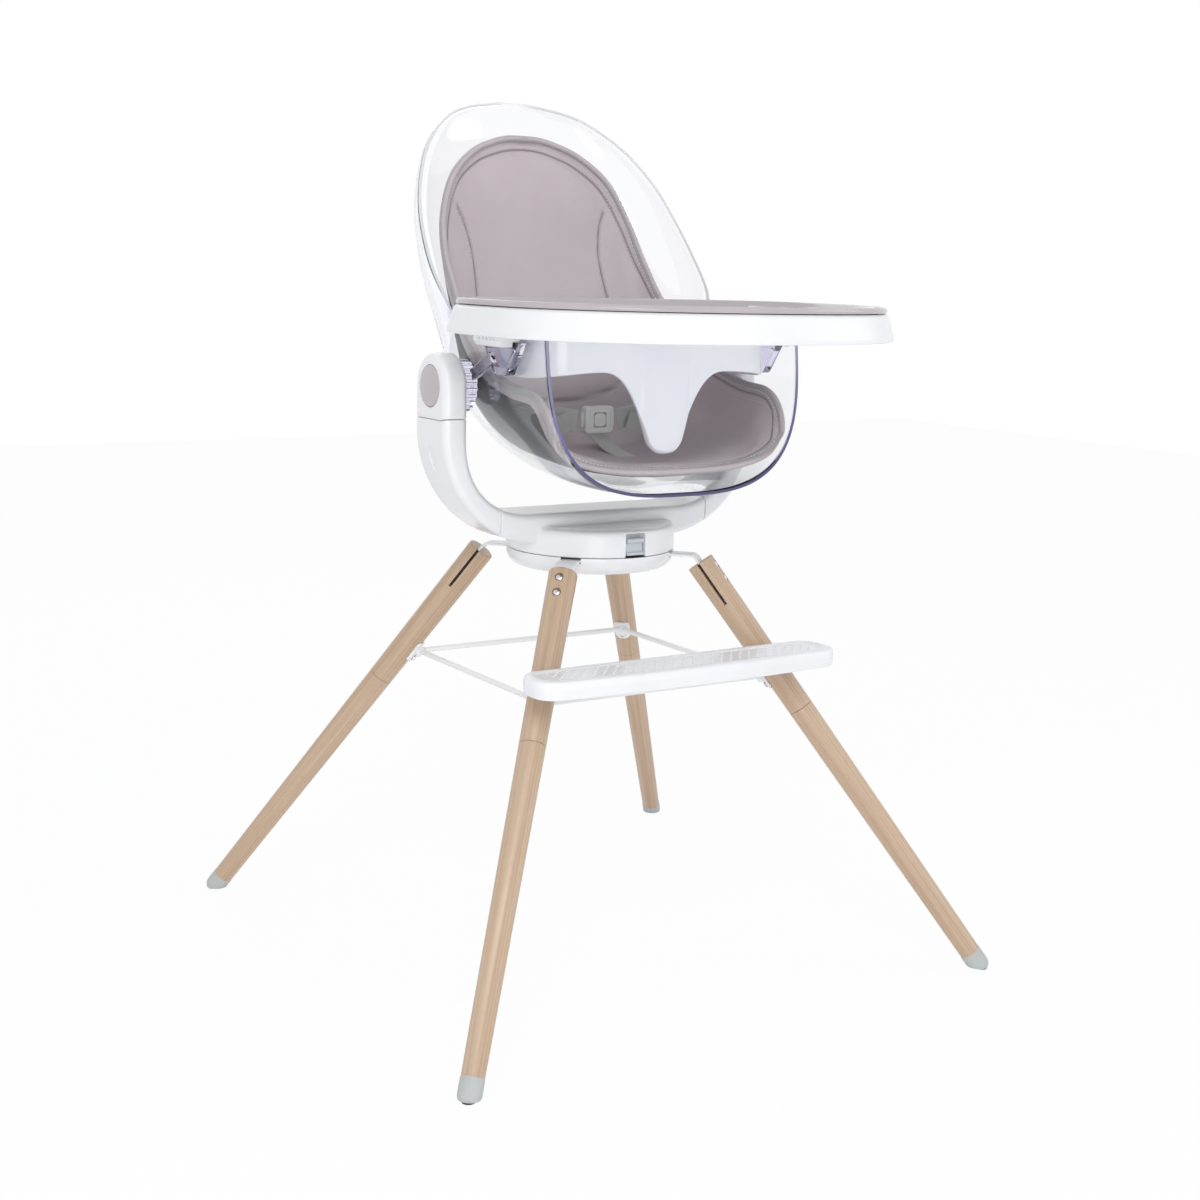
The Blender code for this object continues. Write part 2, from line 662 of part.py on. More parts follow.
def footrest():
    """Bowed board with a thin top and a skirt all round, notched round the two front legs."""

    def outline(inset):
        half = REST_HALF_LENGTH - inset
        corner = REST_CORNER - inset
        front = REST_FRONT + inset
        points = []
        for step in range(11):
            x = (half - corner) * (step / 5 - 1)
            points.append((x, front + REST_BOW * (x / REST_HALF_LENGTH) ** 2))
        end_front = points[-1][1] + corner
        rear = REST_REAR - inset
        corners = ((half - corner, end_front, 270), (half - corner, rear - corner, 0),
                   (corner - half, rear - corner, 90), (corner - half, end_front, 180))
        for x, y, start in corners:
            for step in range(5):
                angle = math.radians(start + 90 * step / 4)
                if (start, step) in ((270, 0), (180, 4)):
                    continue
                points.append((x + corner * math.cos(angle), y + corner * math.sin(angle)))
        return points

    edge = 0.003
    rings = [
        [(x, y, REST_UNDERSIDE) for x, y in outline(0.001)],
        [(x, y, REST_TOP - edge) for x, y in outline(0.0)],
        [(x, y, REST_TOP - edge * 0.3) for x, y in outline(edge * 0.3)],
        [(x, y, REST_TOP) for x, y in outline(edge)],
    ]
    board = loft(rings)
    hollow = loft([
        [(x, y, REST_UNDERSIDE - 0.01) for x, y in outline(REST_WALL + 0.001)],
        [(x, y, REST_TOP - REST_WALL) for x, y in outline(REST_WALL + 0.001)],
    ])
    cut(board, hollow)
    for angle in (QUARTERS["front_left"], QUARTERS["front_right"]):
        turn = Matrix.Rotation(math.radians(angle), 4, "Z")
        low = along_leg(REST_UNDERSIDE) - 0.03
        high = along_leg(REST_TOP) + 0.03
        clearance = leg_radius(high) + GAP
        outside = clearance + REST_WALL
        block = lathe([(0, low), (outside, low), (outside, high), (0, high)], LEG_SIDES)
        moved(block, turn @ LEG_FRAME)
        trim = box((-REST_HALF_LENGTH, REST_FRONT + REST_CORNER, REST_UNDERSIDE),
                   (REST_HALF_LENGTH, -(REST_LEG + CLIP_BACK), CLIP_TOP))
        combine(block, trim, "INTERSECT")
        fuse(board, block)
        notch = lathe([(0, low), (clearance, low), (clearance, high), (0, high)], LEG_SIDES)
        cut(board, moved(notch, turn @ LEG_FRAME))
    return board


# ================================================================ hub
BOLT_TOP = TURRET_SHOULDER - 0.010


def hub_bowl():
    """Dish under the swivel that holds the four leg bars in notches of its rim."""
    bolt_hole = BOLT_RADIUS + GAP
    bar_seat = BAR_HEIGHT - BAR_THICKNESS / 2 - GAP
    wall_start = HUB_BOTTOM + 0.0165
    round_height = HUB_BOTTOM + 0.0085
    profile = [
        (bolt_hole, HUB_BOTTOM), (HUB_RADIUS * 0.72, HUB_BOTTOM), (HUB_RADIUS * 0.88, HUB_BOTTOM + 0.0022),
        (HUB_RADIUS * 0.965, round_height), (HUB_RADIUS, wall_start), (HUB_RADIUS, SEAM_HEIGHT),
        (HUB_RADIUS - HUB_WALL, SEAM_HEIGHT), (HUB_RADIUS - HUB_WALL, wall_start),
        (HUB_RADIUS * 0.86, round_height), (HUB_BOSS_RADIUS, HUB_BOTTOM + 2 * HUB_WALL),
        (HUB_BOSS_RADIUS, bar_seat), (bolt_hole, bar_seat),
    ]
    bowl = lathe(profile, 36)
    for angle in QUARTERS.values():
        turn = Matrix.Rotation(math.radians(angle), 4, "Z")
        half = BAR_WIDTH / 2 + GAP
        ledge_half = half - HUB_WALL / 2
        ledge = box((HUB_RADIUS * 0.56, -ledge_half, HUB_BOTTOM + HUB_WALL),
                    (HUB_RADIUS * 0.77, ledge_half, bar_seat), name="ledge")
        fuse(bowl, moved(ledge, turn))
        notch = box((BAR_INNER_END - 0.010, -half, bar_seat), (HUB_RADIUS + 0.01, half, SEAM_HEIGHT + 0.01),
                    name="notch")
        cut(bowl, moved(notch, turn))
    return bowl


def clamp_plate():
    """Steel disc that presses the four bars into the bowl."""
    low = BAR_HEIGHT + BAR_THICKNESS / 2 + GAP
    high = low + CLAMP_THICKNESS
    inner = BOLT_RADIUS + GAP
    return lathe([(inner, low), (CLAMP_RADIUS, low), (CLAMP_RADIUS, high), (inner, high)], 36)


def pivot_bolt():
    """Bolt up through bowl and plate that carries the turret."""
    head_low = HUB_BOTTOM - BOLT_HEAD_HEIGHT
    profile = [
        (0, head_low), (BOLT_HEAD_RADIUS, head_low), (BOLT_HEAD_RADIUS, HUB_BOTTOM - GAP),
        (BOLT_RADIUS, HUB_BOTTOM - GAP), (BOLT_RADIUS, BOLT_TOP), (0, BOLT_TOP),
    ]
    return lathe(profile, 20)


# ================================================================ yoke
def bend_curve(centre_x, centre_z, half_width, drop, squareness, angle):
    """Point of a yoke edge at an angle from the horizontal, below the bend's centre."""
    x = centre_x + half_width * power(math.cos(angle), 2 / squareness)
    z = centre_z - drop * power(math.sin(angle), 2 / squareness)
    return Vector((x, z))


def outer_edge(angle):
    return bend_curve(ARM_OUTER_CENTRE, ARM_BEND_HEIGHT, ARM_OUTER - ARM_OUTER_CENTRE,
                      ARM_BEND_HEIGHT - YOKE_BOTTOM, 2.0, angle)


def inner_edge(angle):
    return bend_curve(ARM_INNER_CENTRE, ARM_INNER_BEND, ARM_INNER - ARM_INNER_CENTRE,
                      ARM_INNER_BEND - YOKE_TOP, 2.3, angle)


def yoke_ring(outer, inner, half_depth):
    """Rounded section between an outer and an inner point of the yoke, in the plane that joins them."""
    across = inner - outer
    width = across.length
    corner = min(YOKE_CORNER, width * 0.45, half_depth * 0.9)
    ring = []
    steps = 3
    for quarter, (u, v) in enumerate(((width - corner, half_depth - corner), (corner, half_depth - corner),
                                      (corner, corner - half_depth), (width - corner, corner - half_depth))):
        for step in range(steps + 1):
            angle = math.radians(90 * quarter + 90 * step / steps)
            share = (u + corner * math.cos(angle)) / width
            point = outer + across * share
            ring.append((point.x, v + corner * math.sin(angle), point.y))
    return ring


def split_angle(edge, x):
    """Angle at which a yoke edge crosses a plane of constant x."""
    low = 0.0
    high = math.pi / 2
    for _ in range(40):
        middle = (low + high) / 2
        if edge(middle).x > x:
            low = middle
        else:
            high = middle
    return (low + high) / 2


def yoke_arm():
    """Arm from the turret up to the head seam, for the side x > 0."""
    rings = []
    outer_end = split_angle(outer_edge, ARM_SPLIT + GAP / 2)
    inner_end = split_angle(inner_edge, ARM_SPLIT + GAP / 2)
    steps = 12
    for step in range(steps + 1):
        share = 1 - step / steps
        outer = outer_edge(outer_end * share)
        inner = inner_edge(inner_end * share)
        rings.append(yoke_ring(outer, inner, YOKE_HALF_DEPTH))
    top = ARM_SEAM_HEIGHT - GAP / 2
    rings.append(yoke_ring(Vector((ARM_OUTER, top)), Vector((ARM_INNER, top)), YOKE_HALF_DEPTH))
    return loft(rings)


def arm_head():
    """Cover round the recline pivot, bored inside for the axle and outside for the button."""
    rings = []
    low = ARM_SEAM_HEIGHT + GAP / 2
    rings.append(yoke_ring(Vector((ARM_OUTER, low)), Vector((ARM_INNER, low)), YOKE_HALF_DEPTH))
    steps = 9
    for step in range(steps + 1):
        angle = math.radians(88) * step / steps
        height = PIVOT_HEIGHT + HEAD_RADIUS * math.sin(angle)
        half = YOKE_HALF_DEPTH * math.cos(angle)
        pinch = 0.004 * (1 - math.cos(angle))
        outer = Vector((ARM_OUTER - pinch, height))
        inner = Vector((ARM_INNER + pinch * 0.4, height))
        rings.append(yoke_ring(outer, inner, half))
    head = loft(rings)
    pocket_floor = ARM_OUTER + BUTTON_PROUD - BUTTON_DEPTH - BUTTON_TRAVEL - GAP
    pocket = cylinder_between((pocket_floor, 0, PIVOT_HEIGHT), (ARM_OUTER + 0.02, 0, PIVOT_HEIGHT),
                              BUTTON_RADIUS + GAP, 28)
    bore = cylinder_between((ARM_INNER - 0.01, 0, PIVOT_HEIGHT),
                            (ARM_INNER + AXLE_LENGTH + GAP, 0, PIVOT_HEIGHT), AXLE_RADIUS + GAP, 20)
    return cut(head, pocket, bore)


def recline_button():
    outer = ARM_OUTER + BUTTON_PROUD
    edge = 0.0015
    profile = [
        (0, 0), (BUTTON_RADIUS, 0), (BUTTON_RADIUS, BUTTON_DEPTH - edge),
        (BUTTON_RADIUS - edge, BUTTON_DEPTH - 0.0003), (0, BUTTON_DEPTH),
    ]
    button = lathe(profile, 28)
    turn = Matrix.Rotation(math.radians(90), 4, "Y")
    return moved(button, Matrix.Translation((outer - BUTTON_DEPTH, 0, PIVOT_HEIGHT)) @ turn)


def turret():
    """Swivelling block: a drum over the hub and the level ends of the yoke."""
    low = SEAM_HEIGHT + SEAM_GAP
    floor = low + 0.0035
    inside = TURRET_SHOULDER - 0.006
    drum = lathe([
        (0, TURRET_SHOULDER + 0.002), (TURRET_RADIUS * 0.90, TURRET_SHOULDER + 0.002),
        (TURRET_RADIUS * 0.975, TURRET_SHOULDER - 0.001), (TURRET_RADIUS, inside),
        (TURRET_RADIUS, low + TURRET_WALL), (HUB_RADIUS, low), (TURRET_RADIUS - TURRET_WALL, low),
        (TURRET_RADIUS - TURRET_WALL, inside), (CLAMP_RADIUS, inside), (CLAMP_RADIUS, floor),
        (BOLT_RADIUS + GAP, floor), (BOLT_RADIUS + GAP, BOLT_TOP + GAP), (0, BOLT_TOP + GAP),
    ], 36)
    rings = []
    outer_end = split_angle(outer_edge, ARM_SPLIT - GAP / 2)
    inner_end = split_angle(inner_edge, ARM_SPLIT - GAP / 2)
    steps = 4
    for side in (1, -1):
        part = []
        for step in range(steps + 1):
            share = step / steps
            outer = outer_edge(outer_end + (math.pi / 2 - outer_end) * share)
            inner = inner_edge(inner_end + (math.pi / 2 - inner_end) * share)
            ring = yoke_ring(outer, inner, YOKE_HALF_DEPTH)
            part.append([(side * x, y, z) for x, y, z in ring])
        rings += part if side > 0 else list(reversed(part))
    bridge = loft(rings)
    block = fuse(drum, bridge)
    bolt_hole = cylinder_between((0, 0, low - 0.01), (0, 0, BOLT_TOP + GAP), BOLT_RADIUS + GAP, 20)
    cut(block, bolt_hole)
    latch_half = LATCH_WIDTH / 2 + GAP
    pocket = box((-latch_half, -TURRET_RADIUS - 0.01, LATCH_LOW - GAP),
                 (latch_half, latch_front() + LATCH_DEPTH + GAP, LATCH_HIGH + LATCH_TRAVEL + GAP))
    frame_half = LATCH_WIDTH / 2 + 0.003
    housing = box((-frame_half, latch_front() + 0.004, low + 0.001),
                  (frame_half, latch_front() + LATCH_DEPTH + 0.003, inside + 0.001))
    fuse(block, housing)
    return cut(block, pocket)


def latch_front():
    """Front face of the swivel latch, just behind the drum's surface."""
    return -math.sqrt(TURRET_RADIUS ** 2 - (LATCH_WIDTH / 2) ** 2) + 0.0006


def swivel_latch():
    half = LATCH_WIDTH / 2
    front = latch_front()
    depth = front + LATCH_DEPTH
    outline = [
        (front, LATCH_LOW), (depth, LATCH_LOW), (depth, LATCH_HIGH), (front, LATCH_HIGH),
        (front, LATCH_HIGH - 0.004), (front + 0.004, LATCH_HIGH - 0.007), (front + 0.004, LATCH_LOW + 0.005),
        (front, LATCH_LOW + 0.0035),
    ]
    return prism(outline, -half, half, axis="X")


# ================================================================ seat shell
def rib_point(widest, spine, half_width, squareness, angle):
    """Point of a U-shaped rib: angle 0 at the widest point, 90 degrees at the spine."""
    x = half_width * power(math.cos(angle), 2 / squareness)
    share = power(math.sin(angle), 2 / squareness)
    return Vector((x, *(widest + (spine - widest) * share)))


def ribbed_surface(stations, half_width, ribs, steps):
    """Grid of points: one row for each rib, from the left rim through the spine to the right rim."""
    grid = []
    for row in spline(stations, ribs):
        widest = Vector((row[0], PIVOT_HEIGHT + row[1]))
        spine = Vector((row[2], PIVOT_HEIGHT + row[3]))
        bulge = row[6] if len(row) > 6 else 0.0
        half = []
        for step in range(steps + 1):
            angle = math.pi / 2 * step / steps
            point = rib_point(widest, spine, half_width * row[4], row[5], angle)
            half.append(point + Vector((bulge * math.sin(2 * angle), 0, 0)))
        left = [Vector((-p.x, p.y, p.z)) for p in half]
        grid.append(left[:-1] + [Vector((0, half[-1].y, half[-1].z))] + list(reversed(half[:-1])))
    return grid


def outward_normals(grid):
    """Unit normals of a grid, pointing away from the child."""
    build = bmesh.new()
    points = [[build.verts.new(point) for point in row] for row in grid]
    for lower, upper in zip(points, points[1:]):
        for c in range(len(lower) - 1):
            build.faces.new((lower[c], upper[c], upper[c + 1], lower[c + 1]))
    build.normal_update()
    normals = [[point.normal.copy() for point in row] for row in points]
    build.free()
    middle = normals[len(normals) // 2][len(normals[0]) // 2]
    if middle.dot(Vector((0, 1, -1))) < 0:
        normals = [[-normal for normal in row] for row in normals]
    return normals


def thick_surface(grid, offset_in, offset_out, name):
    """Closed wall between two offsets of a grid, measured along its outward normals."""
    normals = outward_normals(grid)
    build = bmesh.new()
    inner, outer = (
        [[build.verts.new(p + n * offset) for p, n in zip(row, line)] for row, line in zip(grid, normals)]
        for offset in (offset_in, offset_out)
    )
    rows = len(grid)
    columns = len(grid[0])
    for r in range(rows - 1):
        for c in range(columns - 1):
            build.faces.new((outer[r][c], outer[r][c + 1], outer[r + 1][c + 1], outer[r + 1][c]))
            build.faces.new((inner[r][c], inner[r + 1][c], inner[r + 1][c + 1], inner[r][c + 1]))
    border = [(0, c) for c in range(columns)] + [(r, columns - 1) for r in range(1, rows)]
    border += [(rows - 1, c) for c in range(columns - 2, -1, -1)] + [(r, 0) for r in range(rows - 2, 0, -1)]
    for (r1, c1), (r2, c2) in zip(border, border[1:] + border[:1]):
        build.faces.new((outer[r2][c2], outer[r1][c1], inner[r1][c1], inner[r2][c2]))
    return solid(name, build)


def tray_post():
    """Tapered armrest post beside the shell that carries the tray."""
    outline = [
        (POST_FRONT, POST_TOP), (POST_REAR, POST_TOP),
        (POST_REAR - POST_TAPER, POST_BOTTOM), (POST_FRONT + POST_TAPER, POST_BOTTOM),
    ]
    return prism(outline, POST_INNER, POST_OUTER, axis="X")


def post_brace():
    """Bar that joins the ribbed hub and the post outside the shell."""
    start = Vector((-RIB_HUB_RADIUS * 0.6, PIVOT_HEIGHT + RIB_HUB_RADIUS * 0.35))
    end = Vector((POST_REAR - POST_TAPER * 0.7, (POST_TOP + POST_BOTTOM) / 2))
    run = (end - start).normalized()
    across = Vector((-run.y, run.x)) * BRACE_HALF
    outline = [(point.x, point.y) for point in (start + across, start - across, end - across, end + across)]
    return prism(outline, RIB_HUB_INNER, BRACE_OUTER, axis="X")


def seat_shell():
    grid = ribbed_surface(SHELL_STATIONS, SEAT_HALF_WIDTH, SHELL_RIBS, SHELL_STEPS)
    return thick_surface(grid, -SHELL_WALL, 0.0, "shell")


def seat_pad():
    grid = ribbed_surface(PAD_STATIONS, PAD_ROOM, PAD_RIBS, PAD_STEPS)
    return thick_surface(grid, 0.0, PAD_THICKNESS, "pad")


def recline_hub():
    """Ribbed hub on the shell's side, its axle in the arm head, and the post braced to it."""
    outer = ARM_INNER - RIB_HUB_GAP
    outline = []
    for tooth in range(RIB_COUNT):
        for share, depth in ((0.0, 0.0), (0.45, 0.0), (0.5, RIB_DEPTH), (0.95, RIB_DEPTH)):
            angle = 2 * math.pi * (tooth + share) / RIB_COUNT
            radius = RIB_HUB_RADIUS - depth
            outline.append((radius * math.cos(angle), PIVOT_HEIGHT + radius * math.sin(angle)))
    hub = prism(outline, RIB_HUB_INNER, outer, axis="X")
    axle = cylinder_between((outer - 0.002, 0, PIVOT_HEIGHT), (ARM_INNER + AXLE_LENGTH, 0, PIVOT_HEIGHT),
                            AXLE_RADIUS, 20)
    return fuse(hub, axle, post_brace(), tray_post())


# ================================================================ tray
def tray_outline(inset, steps=TRAY_STEPS):
    """Rounded D shape: boxy towards the seat, a wide arc to the front."""
    half = TRAY_HALF_WIDTH - inset
    front = TRAY_CENTRE - TRAY_FRONT - inset
    rear = TRAY_REAR - TRAY_CENTRE - inset
    points = []
    for step in range(4 * steps):
        angle = 2 * math.pi * step / (4 * steps)
        behind = math.sin(angle) > 0
        reach = rear if behind else front
        across = SIDE_SQUARENESS if behind else FRONT_SQUARENESS
        along = REAR_SQUARENESS if behind else FRONT_SQUARENESS
        x = half * power(math.cos(angle), 2 / across)
        y = TRAY_CENTRE + reach * power(math.sin(angle), 2 / along)
        points.append((x, y))
    return points


def ring_at(inset, height):
    return [(x, y, height) for x, y in tray_outline(inset)]


def tray_base():
    """White tray body: flared rim, sunken floor and an open underside."""
    under = TRAY_FLOOR - TRAY_WALL
    middle = (TRAY_LOW + TRAY_RIM) / 2 + 0.002
    rings = [
        ring_at(TRAY_WALL + 0.030, under), ring_at(TRAY_WALL + 0.012, under),
        ring_at(TRAY_WALL, TRAY_LOW), ring_at(0.0, TRAY_LOW), ring_at(0.0, TRAY_LOW + 0.004),
        ring_at(TRAY_FLARE * 0.45, middle), ring_at(TRAY_FLARE * 0.85, TRAY_RIM - 0.002),
        ring_at(TRAY_FLARE + 0.003, TRAY_RIM), ring_at(TRAY_FLARE + 0.010, TRAY_RIM - 0.002),
        ring_at(TRAY_FLARE + 0.018, TRAY_FLOOR),
    ]
    return loft(rings)


def tray_insert():
    """Lift-off liner with a thin raised rim and a ringed cup seat."""
    floor = TRAY_FLOOR + GAP
    rings = [
        ring_at(TRAY_FLARE + 0.0195, floor), ring_at(TRAY_FLARE + 0.0115, TRAY_RIM - 0.001),
        ring_at(TRAY_FLARE + 0.0040, TRAY_RIM + GAP), ring_at(TRAY_FLARE + 0.0005, TRAY_RIM + GAP + 0.0004),
        ring_at(TRAY_FLARE, TRAY_RIM + 0.003), ring_at(TRAY_FLARE + 0.0025, INSERT_RIM),
        ring_at(TRAY_FLARE + 0.0060, INSERT_RIM - 0.001), ring_at(TRAY_FLARE + 0.018, TRAY_RIM - 0.008),
        ring_at(TRAY_FLARE + 0.026, floor + INSERT_SKIN + CUP_DEPTH),
    ]
    liner = loft(rings)
    low = floor + INSERT_SKIN
    seat = lathe([(0, low), (CUP_RADIUS, low), (CUP_RADIUS, low + 0.02), (0, low + 0.02)], 32)
    return cut(liner, moved(seat, Matrix.Translation((CUP_X, CUP_Y, 0))))


def apron_edge(x):
    """Height of the apron's lower edge across the front: two leg lobes either side of the post."""
    side = abs(x)
    if side < CROTCH_HALF_WIDTH:
        return CROTCH_LOW + CROTCH_ROUND * (side / CROTCH_HALF_WIDTH) ** 3
    share = min(1.0, (side - CROTCH_HALF_WIDTH) / (LOBE_CENTRE - CROTCH_HALF_WIDTH))
    if share < 1.0:
        ease = 1 - (1 - share) ** 2.4
        corner = CROTCH_LOW + CROTCH_ROUND
        return corner + (APRON_LOBE - corner) * ease
    outer = (side - LOBE_CENTRE) / (APRON_HALF_WIDTH - LOBE_CENTRE)
    return APRON_LOBE - (APRON_LOBE - APRON_EDGE) * outer ** 2


def apron_path():
    """Plan of the apron's middle line, from the left rear end round the front to the right one."""
    points = []
    half = APRON_HALF_WIDTH
    straight = half - APRON_CORNER
    front_y = APRON_FRONT
    side_steps = 3
    for step in range(side_steps):
        share = step / side_steps
        points.append((-half, APRON_REAR + (front_y + APRON_CORNER - APRON_REAR) * share))
    corner_steps = 5
    for step in range(corner_steps):
        angle = math.radians(180 + 90 * step / corner_steps)
        x = -straight + APRON_CORNER * math.cos(angle)
        points.append((x, front_y + APRON_CORNER + APRON_CORNER * math.sin(angle)))
    front_steps = 22
    for step in range(front_steps + 1):
        x = -straight + 2 * straight * step / front_steps
        points.append((x, front_y))
    return points + [(-x, y) for x, y in reversed(points[:side_steps + corner_steps])]


def tray_apron():
    """Skirt under the tray with the crotch post between the child's legs."""
    top = TRAY_FLOOR - TRAY_WALL - GAP
    path = [Vector(point) for point in apron_path()]
    rings = []
    for index, point in enumerate(path):
        before = path[max(index - 1, 0)]
        after = path[min(index + 1, len(path) - 1)]
        run = (after - before).normalized()
        inward = Vector((-run.y, run.x))
        low = apron_edge(point.x)
        half = APRON_WALL / 2
        front = point - inward * half
        back = point + inward * half
        corners = ((front, low), (back, low), (back, top), (front, top))
        rings.append([(place.x, place.y, height) for place, height in corners])
    return loft(rings)


def tray_latch():
    """Squeeze grip under the tray's side, hooked over the post, for the side x > 0."""
    high = TRAY_FLOOR - TRAY_WALL - GAP
    rest = POST_TOP + TLATCH_CLEAR
    section = [
        (TLATCH_INNER, rest), (TLATCH_HOOK, rest), (TLATCH_HOOK, TLATCH_LOW),
        (TLATCH_OUTER, TLATCH_LOW), (TLATCH_OUTER, high), (TLATCH_INNER, high),
    ]
    grip = prism(section, POST_FRONT + 0.010, POST_REAR - 0.014, axis="Y")
    soften(grip, 0.002)
    return baked(grip)


# ================================================================ harness
def webbing(route, width_axis, name="web"):
    """Flat strap through a few points, with its width along one direction."""
    path = [Vector(point) for point in spline(route, 9)]
    side = Vector(width_axis).normalized() * WEB_WIDTH / 2
    rings = []
    for index, point in enumerate(path):
        before = path[max(index - 1, 0)]
        after = path[min(index + 1, len(path) - 1)]
        normal = (after - before).cross(side).normalized() * WEB_THICKNESS / 2
        corners = (-side - normal, side - normal, side + normal, normal - side)
        rings.append([point + corner for corner in corners])
    return loft(rings, name=name)


def buckle_body():
    low = (-BUCKLE_HALF_WIDTH, BUCKLE_Y - BUCKLE_HALF_DEPTH, BUCKLE_Z - BUCKLE_HALF_HEIGHT)
    high = (BUCKLE_HALF_WIDTH, BUCKLE_Y + BUCKLE_HALF_DEPTH, BUCKLE_Z + BUCKLE_HALF_HEIGHT)
    body = rounded_box(low, high, 0.003)
    key = KEY_HALF + GAP
    depth = BUCKLE_Y - BUCKLE_HALF_DEPTH + KEY_DEPTH + KEY_TRAVEL + GAP
    pocket = box((-key, BUCKLE_Y - 0.02, BUCKLE_Z - key), (key, depth, BUCKLE_Z + key))
    cut(body, pocket)
    for side in (-1, 1):
        start = side * (BUCKLE_HALF_WIDTH - PLUG_DEPTH - 2 * GAP)
        slot = plug_box(start, start + side * 0.02, GAP)
        cut(body, slot)
    return body


def plug_box(start, end, clearance):
    """The tongue's flat plug between two places across the buckle, or its slot with some clearance."""
    height = PLUG_HALF_HEIGHT + clearance
    thickness = PLUG_HALF_THICKNESS + clearance
    return box((min(start, end), BUCKLE_Y - thickness, BUCKLE_Z - height),
               (max(start, end), BUCKLE_Y + thickness, BUCKLE_Z + height))


def buckle_button():
    front = BUCKLE_Y - BUCKLE_HALF_DEPTH - KEY_PROUD
    back = BUCKLE_Y - BUCKLE_HALF_DEPTH + KEY_DEPTH
    low = (-KEY_HALF, front, BUCKLE_Z - KEY_HALF)
    high = (KEY_HALF, back, BUCKLE_Z + KEY_HALF)
    return rounded_box(low, high, 0.001, steps=1)


def buckle_tongue():
    """Plate that plugs into the buckle and carries a waist strap, for the side x > 0."""
    plug = plug_box(BUCKLE_HALF_WIDTH - PLUG_DEPTH, BUCKLE_HALF_WIDTH + TONGUE_LENGTH * 0.3, 0.0)
    half_depth = BUCKLE_HALF_DEPTH - 0.003
    low = (BUCKLE_HALF_WIDTH + GAP, BUCKLE_Y - half_depth, BUCKLE_Z - BUCKLE_HALF_HEIGHT)
    high = (BUCKLE_HALF_WIDTH + TONGUE_LENGTH, BUCKLE_Y + half_depth, BUCKLE_Z + BUCKLE_HALF_HEIGHT)
    plate = rounded_box(low, high, 0.001, steps=1)
    return fuse(plate, plug)


def waist_strap():
    start_x = BUCKLE_HALF_WIDTH + TONGUE_LENGTH + GAP
    span = STRAP_REACH - start_x
    # share of the way to the pad, then how far the strap lies behind and above the buckle
    places = ((0.0, 0.0, 0.0), (0.44, 0.010, 0.006), (0.775, 0.024, 0.012), (1.0, 0.038, 0.017))
    route = [(start_x + span * share, BUCKLE_Y + back, BUCKLE_Z + rise) for share, back, rise in places]
    return webbing(route, (0, 0, 1))


def crotch_strap():
    top = BUCKLE_Z - BUCKLE_HALF_HEIGHT - WEB_THICKNESS * 0.5
    run = STRAP_SLOT_Y - BUCKLE_Y
    route = ((0, BUCKLE_Y - 0.002, top), (0, BUCKLE_Y + run * 0.33, BUCKLE_Z - 0.0340),
             (0, BUCKLE_Y + run * 0.70, BUCKLE_Z - 0.0420), (0, STRAP_SLOT_Y, BUCKLE_Z - 0.0418))
    return webbing(route, (1, 0, 0))


